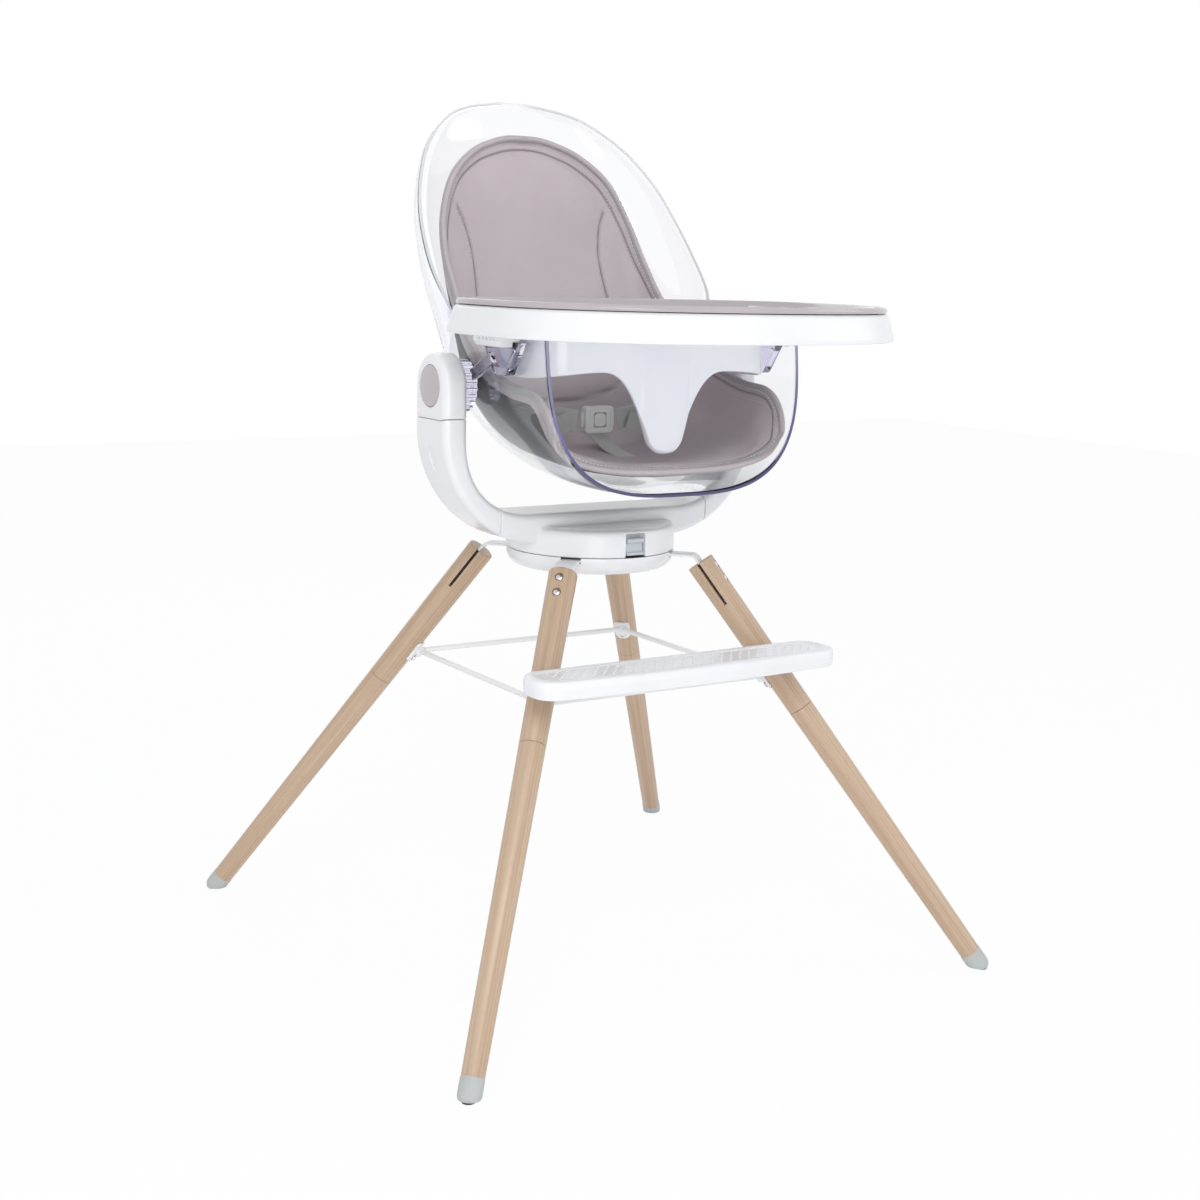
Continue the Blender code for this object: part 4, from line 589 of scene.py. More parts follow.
def ribs(stations, half_width, rows, steps):
    """Grid of points over U-shaped ribs, front to top, left rim to right rim."""
    angle = np.linspace(0, pi / 2, steps * 3 + 1)
    grid = []
    for row in spline(stations, rows):
        y0, z0, y1, z1, width, square, bulge = (*row, 0.0)[:7]
        x = half_width * width * np.clip(np.cos(angle), 0, 1) ** (2 / square) + bulge * np.sin(2 * angle)
        share = np.clip(np.sin(angle), 0, 1) ** (2 / square)
        half = even(np.stack([x, y0 + (y1 - y0) * share, PIVOT + z0 + (z1 - z0) * share], 1), steps + 1)
        half[-1, 0] = 0
        grid.append(np.vstack([(half * (-1, 1, 1))[:-1], half[::-1]]))
    return np.array(grid)


def grid_normals(grid):
    """Unit normals that point away from the child."""
    normal = unit(np.cross(np.gradient(grid, axis=0), np.gradient(grid, axis=1)))
    middle = normal[grid.shape[0] // 2, grid.shape[1] // 2]
    return -normal if middle @ (0, 1, -1) < 0 else normal


def border(rows, columns):
    made = [(0, c) for c in range(columns)] + [(r, columns - 1) for r in range(1, rows)]
    return made + [(rows - 1, c) for c in range(columns - 2, -1, -1)] + [(r, 0) for r in range(rows - 2, 0, -1)]


def outward(grid):
    """Unit direction off the sheet's edge at each border point, square to the edge."""
    rows, columns = grid.shape[:2]
    loop = border(rows, columns)
    edge = np.array([grid[r, c] for r, c in loop])
    inside = np.array([grid[min(max(r, 1), rows - 2), min(max(c, 1), columns - 2)] for r, c in loop])
    return square_to(unit(edge - inside), unit(np.roll(edge, -1, 0) - np.roll(edge, 1, 0)))


def thick(name, inner, outer, steps, angle):
    """Closed wall between two grids with a round rim; faces come as outer, inner, then rim."""
    rows, columns = outer.shape[:2]
    size = rows * columns
    verts = [outer.reshape(-1, 3), inner.reshape(-1, 3)]
    faces = quads(rows, columns) + quads(rows, columns, size)
    index = np.array([r * columns + c for r, c in border(rows, columns)])
    middle = (inner + outer).reshape(-1, 3)[index] / 2
    across = (outer - inner).reshape(-1, 3)[index] / 2
    away = square_to(outward((inner + outer) / 2), unit(across))
    bands = [index]
    for step in range(steps):
        turn = pi * (step + 1) / (steps + 1)
        verts.append(middle + across * cos(turn) + away * length(across)[:, None] * sin(turn))
        bands.append(2 * size + step * len(index) + np.arange(len(index)))
    for one, two in zip(bands, bands[1:] + [index + size]):
        faces += np.stack([one, np.roll(one, -1), np.roll(two, -1), two], 1).tolist()
    return build(name, np.vstack(verts), faces, angle), (rows - 1) * (columns - 1)


def sweep(name, path, side, normal, section, closed=False, angle=40):
    """Carries a closed flat section along a path with given side and normal directions, with metre UVs."""
    section = np.asarray(section, float)
    verts = path[:, None] + side[:, None] * section[None, :, :1] + normal[:, None] * section[None, :, 1:2]
    rows, columns = verts.shape[:2]
    index = np.arange(columns)
    last = (rows - 1) * columns + index
    faces = quads(rows, columns, around=True)
    if closed:
        faces += np.stack([last, np.roll(last, -1), np.roll(index, -1), index], 1).tolist()
    else:
        faces += end_caps(rows, columns)
    made = build(name, verts.reshape(-1, 3), faces, angle)
    run = run_along(path)
    layer = made.data.uv_layers.new(name="UVMap")
    for loop in made.data.loops:
        row, column = divmod(loop.vertex_index, columns)
        layer.data[loop.index].uv = (section[column][0], run[row])
    return made


def ring_tube(name, path, radius, sides=12):
    """Round bead along a closed path."""
    tangent = unit(np.roll(path, -1, 0) - np.roll(path, 1, 0))
    normal = np.zeros_like(path)
    first = np.cross(tangent[0], (0.3, 0.5, 0.81))
    for i, run in enumerate(tangent):
        first = unit(first - run * (first @ run))
        normal[i] = first
    turns = [2 * pi * k / sides for k in range(sides)]
    section = [(radius * cos(t), radius * sin(t)) for t in turns]
    return sweep(name, path, np.cross(tangent, normal), normal, section, True)


def stitches(name, path, normal, pitch=0.0042, long=0.0030, radius=0.00042):
    """Row of sewn stitches: small tapered beads laid along a path on a surface."""
    run = run_along(path)
    count = max(2, int(run[-1] / pitch))
    want = (np.arange(count) + 0.5) * run[-1] / count
    forward = unit(read(want + 0.001, run, path) - read(want - 0.001, run, path))
    side = unit(np.cross(unit(read(want, run, normal)), forward))
    sides, levels = 6, ((-0.8, 0.75), (-0.3, 1.0), (0.3, 1.0), (0.8, 0.75))
    turns = [2 * pi * k / sides for k in range(sides)]
    bead = [(-1, 0, 0)] + [(a, fat * cos(t), fat * sin(t)) for a, fat in levels for t in turns] + [(1, 0, 0)]
    bead = np.array(bead) * (long / 2, radius, radius)
    axes = (forward, side, np.cross(forward, side))
    verts = read(want, run, path)[:, None] + sum(bead[None, :, k:k + 1] * axes[k][:, None] for k in range(3))
    end = len(bead) - 1
    ring = [(1 + k, 1 + (k + 1) % sides) for k in range(sides)]
    one = [(0, m, k) for k, m in ring] + [(end, end - 1 - sides + k, end - 1 - sides + m) for k, m in ring]
    one += [(low + k, low + m, low + sides + m, low + sides + k) for low in (0, sides, 2 * sides) for k, m in ring]
    faces = [tuple(len(bead) * n + i for i in face) for n in range(count) for face in one]
    return build(name, verts.reshape(-1, 3), faces, 60)


# ================================================================ legs, brackets, ring
LEG_RUN = FOOT_SPREAD - LEG_TOP_REACH
LEG_LENGTH = hypot(LEG_RUN, LEG_TOP_HEIGHT)
LEG_TILT = atan2(LEG_RUN, LEG_TOP_HEIGHT)
TILT_COS = cos(LEG_TILT)
LEG_FRAME = shift(FOOT_SPREAD, 0, 0) @ Matrix.Rotation(-LEG_TILT, 4, "Y")
PLAIN = Matrix.Identity(4)
QUARTERS = {"rear_right": 45, "rear_left": 135, "front_left": 225, "front_right": 315}


def leg_radius(along):
    return LEG_FOOT_RADIUS + (LEG_TOP_RADIUS - LEG_FOOT_RADIUS) * along / LEG_LENGTH


def leg_reach(height):
    return FOOT_SPREAD - LEG_RUN * height / LEG_TOP_HEIGHT


JOINT_ALONG = LEG_JOINT_HEIGHT / TILT_COS
RING_INSET = (leg_radius(STRETCHER_HEIGHT / TILT_COS) + ROD_STANDOFF) / TILT_COS
RING_CORNER = Vector((leg_reach(STRETCHER_HEIGHT) - RING_INSET, 0, STRETCHER_HEIGHT))
STRETCHER_ALONG = (LEG_FRAME.inverted() @ RING_CORNER).z
SADDLE_INNER = leg_radius(STRETCHER_ALONG + SADDLE_ABOVE) + GAP


def in_quarters(first, kind, look, slot, place=LEG_FRAME, faces=None, named="{}_{}_finish"):
    """Four copies of one mesh, each on its own leg; a finished piece stands for its CAD node."""
    for corner, angle in QUARTERS.items():
        copy = linked(named.format(kind, corner), first.data)
        copy.matrix_world = spin(angle) @ place
        nodes = [f"{kind}_{corner}"] if named.endswith("finish") else []
        dress(copy, look, "base", slot, *nodes, faces=faces)
    discard(first)


def leg_half(name, low, high, high_edge):
    profile = [(0, low), (leg_radius(low), low), (leg_radius(high), high), (0, high)]
    return lathe(name, fillet(profile, [0, 0.0005, high_edge, 0], 5, False), 80)


upper = leg_half("leg_upper", JOINT_ALONG + 0.0002, LEG_LENGTH, 0.0016)
slot_half = BLADE / 2 + GAP
cut(upper, block("slot", (-slot_half, -0.03, LEG_LENGTH - BAR_TAIL - 0.005), (slot_half, 0.03, LEG_LENGTH + 0.01)))
for along in (LEG_LENGTH - depth for depth in SCREW_DEPTHS):
    cut(upper, rod("sink", (leg_radius(along) + 0.01, 0, along), (leg_radius(along) - 0.0036, 0, along), 0.0052, 48))
in_quarters(upper, "leg_upper", WOOD, "beech")
in_quarters(leg_half("leg_lower", CAP_LENGTH - 0.010, JOINT_ALONG - 0.0002, 0.0005), "leg_lower", WOOD, "beech")

cap_outer = LEG_FOOT_RADIUS + 0.0006
cap_end = [(cap_outer * sin(t) ** 0.62, 0.0085 - 0.0120 * cos(t) ** 0.9)
           for t in np.radians(np.linspace(0, 90, 22)[:-1])]
cap_side = fillet([(cap_outer, 0.0085), (cap_outer, CAP_LENGTH), (cap_outer - 0.003, CAP_LENGTH),
                   (0, CAP_LENGTH - 0.004)], [0, 0.0008, 0.0004, 0], 5, False)
cap = moved(lathe("foot_cap", cap_end + cap_side, 72), LEG_FRAME)
cut(cap, block("floor_cut", (FOOT_SPREAD - 0.05, -0.05, -0.05), (FOOT_SPREAD + 0.05, 0.05, 0.0024)))
in_quarters(cap, "foot_cap", RUBBER, "grey_rubber", PLAIN)
glide_profile = fillet([(0, 0), (0.0074, 0), (0.0070, 0.0042), (0, 0.0042)], [0, 0.0008, 0.0006, 0], 4, False)
in_quarters(lathe("foot_glide", glide_profile, 56), "foot_glide", DARK_RUBBER, "grey_rubber",
            shift(FOOT_SPREAD, 0, 0), named="{}_{}")


def screw_head():
    """Domed head with a cross recess, its face towards +Z."""
    r, h = SCREW_HEAD_RADIUS, SCREW_HEAD_HEIGHT
    head = lathe("screw", [(0, -0.004), (0.0025, -0.004), (0.0025, 0), (r - 0.0002, 0), (r, 0.0002), (r, h * 0.42),
                           (r * 0.95, h * 0.62), (r * 0.8, h * 0.82), (r * 0.5, h * 0.95), (0, h)], 56)
    for turn in (27, 117):
        arm = loft("arm", [[(x, y, z) for x, y in centred(*half)] for half, z in
                           (((0.0012, 0.00035), h - 0.0017), ((0.0027, 0.0006), h + 0.001))])
        cut(head, moved(arm, spin(turn)))
    return head


for word, along in zip(("top", "low"), (LEG_LENGTH - depth for depth in SCREW_DEPTHS)):
    place = LEG_FRAME @ shift(leg_radius(along) - SCREW_HEAD_HEIGHT - 0.0005, 0, along) @ spin(90, "Y")
    in_quarters(screw_head(), f"leg_screw_{word}", STEEL, "zinc_steel", place)
place = shift(-(SADDLE_INNER + SADDLE_THICKNESS + 0.0004), 0, STRETCHER_ALONG - SADDLE_BELOW + SADDLE_SCREW)
in_quarters(screw_head(), "saddle_screw", STEEL, "zinc_steel", LEG_FRAME @ place @ spin(-90, "Y"))


def leg_bracket():
    """Flat bar bent down into the leg's slot, and which of its faces are inside the slot, where painted shadow goes."""
    rise = (BAR_HEIGHT - LEG_TOP_HEIGHT) / TILT_COS
    bend = Vector((LEG_TOP_REACH - rise * sin(LEG_TILT), BAR_HEIGHT))
    down = Vector((sin(LEG_TILT), -TILT_COS))
    radius = 0.009
    centre = Vector((bend.x - radius * tan((pi / 2 - LEG_TILT) / 2), BAR_HEIGHT - radius))
    route = [(Vector((0.050, BAR_HEIGHT)), Vector((0, 1)))]
    for step in range(13):
        angle = pi / 2 - (pi / 2 - LEG_TILT) * step / 12
        normal = Vector((cos(angle), sin(angle)))
        route.append((centre + normal * radius, normal))
    route += [(bend + down * (reach + rise), Vector((TILT_COS, sin(LEG_TILT)))) for reach in (0.004, BAR_TAIL)]
    outline = [p + n * (BLADE / 2) for p, n in route] + [p - n * (BLADE / 2) for p, n in reversed(route)]
    bar = soften(prism("leg_bracket", outline, -BAR_WIDTH / 2, BAR_WIDTH / 2, "Y"), 0.0007, 3, 40)
    slot_start = LEG_LENGTH - 0.0010
    shaped = bmesh.new()
    shaped.from_mesh(bar.data)
    bmesh.ops.bisect_plane(shaped, geom=shaped.verts[:] + shaped.edges[:] + shaped.faces[:],
                           plane_co=LEG_FRAME @ Vector((0, 0, slot_start)),
                           plane_no=LEG_FRAME.to_3x3() @ Vector((0, 0, 1)))
    shaped.to_mesh(bar.data)
    to_leg = LEG_FRAME.inverted()
    inside = [int((to_leg @ face.center).z < slot_start) for face in bar.data.polygons]
    return shade(bar, 40), inside


bracket, inside_slot = leg_bracket()
# the bracket's faces down in the slot are painted with the dark shadow look
in_quarters(bracket, "leg_bracket", (POWDER, SHADOW_GAP), "white_steel", PLAIN, inside_slot)


def stretcher():
    """Saddle plate on one leg, its boss, and the rod to the next leg."""
    outer = SADDLE_INNER + SADDLE_THICKNESS
    half = asin(SADDLE_WIDTH / 2 / outer)
    angles = np.linspace(pi - half, pi + half, 33)
    outline = [(outer * cos(a), outer * sin(a)) for a in angles]
    outline += [(SADDLE_INNER * cos(a), SADDLE_INNER * sin(a)) for a in angles[::-1]]
    low, high = STRETCHER_ALONG - SADDLE_BELOW, STRETCHER_ALONG + SADDLE_ABOVE
    shape = fillet(rect(-SADDLE_WIDTH / 2, low, SADDLE_WIDTH / 2, high), 0.0095, 8)
    plate = combine(prism("stretcher", outline, low, high), prism("shape", shape, -0.05, 0.0, "X"), "INTERSECT")
    moved(soften(plate, 0.0006, 2, 50), LEG_FRAME)
    inward = Matrix.Rotation(-LEG_TILT, 4, "Y") @ Vector((-1, 0, 0))
    centre = LEG_FRAME @ Vector((0, 0, STRETCHER_ALONG))
    boss = rod("boss", centre + inward * (SADDLE_INNER + 0.0008),
               centre + inward * (SADDLE_INNER + SADDLE_THICKNESS + BOSS_LENGTH), BOSS_RADIUS, 48, 0.0024)
    following = spin(90) @ RING_CORNER
    run = (following - RING_CORNER).normalized()
    bar = rod("bar", RING_CORNER + run * ROD_RADIUS * 0.6, following - run * (BOSS_RADIUS * 1.2), ROD_RADIUS, 32)
    return union(plate, boss, bar)


in_quarters(stretcher(), "stretcher", POWDER, "white_steel", PLAIN)

# ================================================================ footrest
REST_LEG = leg_reach((REST_UNDERSIDE + REST_TOP) / 2) * sqrt(0.5)
REST_FRONT = -(REST_LEG + 0.0976)
REST_REAR = -(REST_LEG + 0.0256)
REST_HALF = REST_LEG + 0.0561


def rest_outline(inset):
    half = REST_HALF - inset
    corner = max(REST_CORNER - inset, 0.004)
    front, rear = REST_FRONT + inset, REST_REAR - inset - corner
    points = [(x, front + REST_BOW * (x / REST_HALF) ** 2) for x in np.linspace(corner - half, half - corner, 41)]
    end_front = points[-1][1] + corner
    for x, y, start in ((half - corner, end_front, 270), (half - corner, rear, 0), (corner - half, rear, 90),
                        (corner - half, end_front, 180)):
        for step in range(start == 270, 13 - (start == 180)):
            angle = radians(start + 90 * step / 12)
            points.append((x + corner * cos(angle), y + corner * sin(angle)))
    return points


rest_profile = fillet(
    [(0.0045, REST_TOP - 0.005), (0.0042, REST_UNDERSIDE), (0.0012, REST_UNDERSIDE), (0.0, REST_TOP - 0.009),
     (0.0012, REST_TOP - 0.0012), (0.0085, REST_TOP), (0.0125, REST_TOP - 0.0006), (0.0140, REST_TOP - 0.0018),
     (0.0200, REST_TOP - 0.0018)], [0, 0.0008, 0.0008, 0.01, 0.006, 0.003, 0.002, 0.001, 0], 5, False)
board = loft("footrest_board", [[(x, y, z) for x, y in rest_outline(i)] for i, z in rest_profile])
clips = []
for side, angle, word in ((-1, 225, "left"), (1, 315, "right")):
    low, high = REST_UNDERSIDE / TILT_COS - 0.03, REST_TOP / TILT_COS + 0.03
    bore = leg_radius(high) + GAP
    ring, notch = (moved(lathe("ring", [(0, low), (r, low), (r, high), (0, high)], 64), spin(angle) @ LEG_FRAME)
                   for r in (bore + 0.003, bore))
    trim = block("trim", (-0.3, REST_FRONT + 0.03, REST_UNDERSIDE),
                 (0.3, -(REST_LEG + 0.0076), REST_UNDERSIDE + 0.0115))
    cut(union(board, combine(ring, trim, "INTERSECT")), notch)
    shape = fillet([(-0.024, 0.0004), (0.030, 0.0004), (0.012, -0.0052), (-0.010, -0.0060), (-0.022, -0.0034)], 0.003)
    shape = [(side * (REST_LEG + 0.004 - u), REST_UNDERSIDE + v) for u, v in shape]
    clips.append(prism(f"footrest_clip_{word}", shape, REST_REAR - 0.030, REST_REAR - 0.004, "Y", 0.001))
dress(board, WHITE, "base", "white_plastic", "footrest")
for clip in clips:
    dress(clip, LATCH_GREY, "base", "white_plastic")


def footrest_dots(pitch=0.0134, rows=5, sides=12):
    """Raised anti-slip domes in staggered rows on the sunken top."""
    verts, faces = [], []
    depth = (REST_REAR - 0.018) - (REST_FRONT + 0.019)
    count = int((2 * REST_HALF - 0.052) / pitch)
    turns = [2 * pi * s / sides for s in range(sides)]
    for row in range(rows):
        share = row / (rows - 1)
        for k in range(count):
            x = (k - (count - 1) / 2 + (0.25 if row % 2 else -0.25)) * pitch
            y = REST_FRONT + 0.019 + share * depth + REST_BOW * (x / REST_HALF) ** 2 * (1 - share)
            if abs(x) > REST_HALF - 0.024:
                continue
            base = len(verts)
            verts += [(x + r * cos(t), y + r * sin(t), REST_TOP - 0.0019 + h) for r, h in
                      ((0.0020, 0.0), (0.0019, 0.0004), (0.0014, 0.0008), (0.0008, 0.00105)) for t in turns]
            verts.append((x, y, REST_TOP - 0.0019 + 0.00115))
            top = base + 3 * sides
            faces += [tuple(base + s for s in reversed(range(sides))), *quads(4, sides, base, True)]
            faces += [(top + s, top + (s + 1) % sides, top + sides) for s in range(sides)]
    return build("footrest_dots", verts, faces, 50)


dress(footrest_dots(), WHITE, "base", "white_plastic")

# ================================================================ hub
bowl = lathe("hub_bowl_finish", fillet(
    [(0.0085, HUB_BOTTOM), (HUB_RADIUS * 0.70, HUB_BOTTOM), (HUB_RADIUS * 0.90, HUB_BOTTOM + 0.0024),
     (HUB_RADIUS * 0.975, HUB_BOTTOM + 0.0090), (HUB_RADIUS, HUB_BOTTOM + 0.0175), (HUB_RADIUS, SEAM_HEIGHT),
     (HUB_RADIUS - 0.0032, SEAM_HEIGHT), (HUB_RADIUS - 0.0032, HUB_BOTTOM + 0.0165),
     (HUB_RADIUS * 0.86, HUB_BOTTOM + 0.0085), (0.030, HUB_BOTTOM + 0.0064), (0.030, BAR_HEIGHT - 0.0028),
     (0.0085, BAR_HEIGHT - 0.0028)],
    [0.001, 0.03, 0.03, 0.03, 0.01, 0.0006, 0.0006, 0.003, 0.01, 0.002, 0.001, 0.001], 6), 144)
bar_half = BAR_WIDTH / 2 + GAP
for angle in QUARTERS.values():
    notch = block("notch", (0.040, -bar_half, BAR_HEIGHT - 0.0028), (HUB_RADIUS + 0.01, bar_half, SEAM_HEIGHT + 0.01))
    cut(bowl, moved(notch, spin(angle)))
dress(bowl, WHITE, "base", "white_plastic", "hub_bowl")
for name in ("clamp_plate", "pivot_bolt"):
    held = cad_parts[name]
    held.data.materials.clear()
    held.data.materials.append(STEEL)


# ================================================================ yoke
def signed_power(value, exponent):
    return copysign(abs(value) ** exponent, value)


def edge_point(inner, angle):
    """Outer or inner edge of the yoke at an angle below its bend's centre, as (x, z)."""
    centre, height, half, drop, square = (
        (ARM_INNER - 0.093, ARM_INNER_BEND, 0.093, ARM_INNER_BEND - YOKE_TOP, 2.3) if inner else
        (ARM_OUTER - 0.134, ARM_BEND, 0.134, ARM_BEND - YOKE_BOTTOM, 2.0))
    return Vector((centre + half * signed_power(cos(angle), 2 / square),
                   height - drop * signed_power(sin(angle), 2 / square)))


def crossing(inner, x):
    """Angle at which the yoke's edge reaches x."""
    low, high = 0.0, pi / 2
    for _ in range(40):
        middle = (low + high) / 2
        low, high = (middle, high) if edge_point(inner, middle).x > x else (low, middle)
    return (low + high) / 2


def yoke_ring(outer, inner, half_depth=YOKE_HALF_DEPTH, inset=0.0, steps=8):
    across = inner - outer
    width = across.length - 2 * inset
    half = half_depth - inset
    corner = min(0.0088, width * 0.45, half * 0.9)
    ring = []
    for quarter, (u, v) in enumerate(((width - corner, half - corner), (corner, half - corner),
                                      (corner, corner - half), (width - corner, corner - half))):
        for step in range(steps + 1):
            angle = radians(90 * quarter + 90 * step / steps)
            point = outer + across * ((inset + u + corner * cos(angle)) / across.length)
            ring.append([point.x, v + corner * sin(angle), point.y])
    return ring


def level_ring(height, inset=0.0, half=YOKE_HALF_DEPTH, pinch=0.0):
    return yoke_ring(Vector((ARM_OUTER - pinch, height)), Vector((ARM_INNER + pinch * 0.5, height)), half, inset)


def swooped(ring):
    """Lowers the seam in the middle of the outer face, fading out 55 mm away from it."""
    made = []
    for x, y, z in ring:
        away = min(1.0, abs(z - ARM_SEAM) / 0.055)
        share = min(1.0, max(0.0, (x - ARM_INNER) / ARM_THICKNESS)) ** 1.5
        made.append((x, y, z - 0.014 * cos(pi * y / (2 * YOKE_HALF_DEPTH)) ** 2 * share * (1 - away)))
    return made


def yoke_arm(steps=44):
    """Arm from the bridge up to the seam under its head, with an oval mark on the bend."""
    outer_end, inner_end = crossing(False, ARM_SPLIT + 0.0003), crossing(True, ARM_SPLIT + 0.0003)
    rings = [yoke_ring(edge_point(False, outer_end), edge_point(True, inner_end), inset=0.0006)]
    for step in range(steps + 1):
        share = 1 - step / steps
        lean = Vector((0.0006, 0.0004)) * (step == 0)
        rings.append(yoke_ring(edge_point(False, outer_end * share) + lean, edge_point(True, inner_end * share) + lean))
    low = max(ARM_BEND, ARM_INNER_BEND)
    rings += [level_ring(height) for height in np.linspace(low + 0.003, ARM_SEAM - 0.0011, 4)]
    rings += [level_ring(ARM_SEAM - 0.0007, 0.0002), level_ring(ARM_SEAM - 0.0004, 0.0008)]
    arm = loft("yoke_arm_right_finish", [swooped(ring) for ring in rings])
    centre = edge_point(False, 0.262)
    run = (edge_point(False, 0.20) - edge_point(False, 0.32)).normalized()
    normal = Vector((run.y, -run.x))
    oval = [(0.0062 * cos(t), 0.0165 * sin(t)) for t in np.linspace(0, 2 * pi, 65)[:-1]]
    return cut(arm, loft("oval", [[(centre.x + run.x * v + normal.x * d, u, centre.y + run.y * v + normal.y * d)
                                   for u, v in oval] for d in (-0.0016, 0.004)]))


def arm_head():
    rings = [level_ring(ARM_SEAM + rise, inset) for rise, inset in ((0.0004, 0.0008), (0.0007, 0.0002), (0.0011, 0.0))]
    rings += [level_ring(height) for height in np.linspace(ARM_SEAM + 0.006, PIVOT - 0.004, 6)]
    for angle in np.radians(np.linspace(0, 89, 34)):
        rings.append(level_ring(PIVOT + YOKE_HALF_DEPTH * sin(angle), 0.0, YOKE_HALF_DEPTH * cos(angle),
                                0.006 * (1 - cos(angle)) ** 1.5))
    head = loft("arm_head_right_finish", [swooped(ring) for ring in rings])
    pocket = rod("pocket", (ARM_OUTER - 0.0122, 0, PIVOT), (ARM_OUTER + 0.02, 0, PIVOT), BUTTON_RADIUS + 0.0007, 96)
    return cut(head, pocket, rod("bore", (ARM_INNER - 0.01, 0, PIVOT), (ARM_INNER + 0.0113, 0, PIVOT), 0.0123, 48))


def recline_button(depth=0.0085):
    r = BUTTON_RADIUS
    profile = fillet([(0, 0), (r, 0), (r, depth - 0.0006), (r * 0.86, depth - 0.0002), (r * 0.45, depth + 0.0004),
                      (0, depth + 0.0006)], [0, 0.0005, 0.0028, 0.004, 0.01, 0], 6, False)
    place = shift(ARM_OUTER + 0.0012 - depth, 0, PIVOT) @ spin(90, "Y")
    return moved(lathe("recline_button_right_finish", profile, 96), place)


both_sides(yoke_arm(), WHITE, "yoke", "white_plastic", "yoke_arm")
both_sides(arm_head(), WHITE, "yoke", "white_plastic", "arm_head")
both_sides(recline_button(), MAUVE_BUTTON, "recline_button", "mauve_plastic", "recline_button")


def turret():
    """Drum and bridge grown together with soft fillets, and the latch's recess."""
    low, top, r = SEAM_HEIGHT + 0.0004, TURRET_SHOULDER, TURRET_RADIUS
    drum = lathe("turret_finish", fillet(
        [(0, top + 0.002), (r * 0.90, top + 0.002), (r * 0.975, top - 0.001), (r, top - 0.006), (r, low), (0.082, low),
         (0.082, low + 0.010), (0, low + 0.010)], [0, 0.004, 0.004, 0.004, 0.0004, 0.001, 0.001, 0], 4, False), 144)
    ends = [(inner, crossing(inner, ARM_SPLIT - 0.0003)) for inner in (False, True)]
    half_rings = [yoke_ring(*(edge_point(inner, end + (pi / 2 - end) * share) for inner, end in ends))
                  for share in np.linspace(0, 1, 16)[:-1]]
    rings = half_rings + [[(-x, y, z) for x, y, z in ring] for ring in reversed(half_rings)]
    cut(union(drum, loft("bridge", rings)),
        block("recess", (-0.0138, -0.13, low - 0.004), (0.0138, -0.0905, SEAM_HEIGHT + 0.0292)))
    voxels = drum.modifiers.new("voxels", "REMESH")
    voxels.mode = "VOXEL"
    voxels.voxel_size = 0.0014
    smooth = drum.modifiers.new("smooth", "SMOOTH")
    smooth.factor = 0.5
    smooth.iterations = 7
    return baked(drum, 80)


dress(turret(), WHITE, "yoke", "white_plastic", "turret")
latch_y = -sqrt(TURRET_RADIUS ** 2 - 0.012 ** 2) + 0.0010
latch_low, latch_high = SEAM_HEIGHT + 0.003, SEAM_HEIGHT + 0.023
latch_shape = fillet(
    [(latch_y, latch_low), (latch_y + 0.010, latch_low), (latch_y + 0.010, latch_high), (latch_y - 0.0002, latch_high),
     (latch_y - 0.0002, latch_high - 0.0045), (latch_y + 0.0040, latch_high - 0.0062),
     (latch_y + 0.0032, latch_low + 0.0050), (latch_y, latch_low + 0.0030)],
    [0.0008, 0.0008, 0.0008, 0.0015, 0.0015, 0.0015, 0.002, 0.001], 5)
dress(prism("swivel_latch_finish", latch_shape, -0.0118, 0.0118, "X", 0.0007), LATCH_GREY, "swivel_latch",
      "latch_grey", "swivel_latch")
# painted shade: the back of the latch recess in the white turret is a grey plate
dress(block("swivel_latch_recess", (-0.0134, -0.0918, SEAM_HEIGHT + 0.0022), (0.0134, -0.0908, SEAM_HEIGHT + 0.0285),
            0.0003), LATCH_GREY, "yoke", "white_plastic")

# ================================================================ clear shell
shell_outer = ribs(SHELL_STATIONS, SEAT_HALF_WIDTH, *(((110, 44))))
shell, side_faces = thick("seat_shell_finish", shell_outer - grid_normals(shell_outer) * SHELL_WALL, shell_outer, 5, 60)
rim_faces = (np.arange(len(shell.data.polygons)) >= 2 * side_faces).astype(int)
dress(shell, (CLEAR, CLEAR_EDGE), "seat", "clear_plastic", "seat_shell", faces=rim_faces)


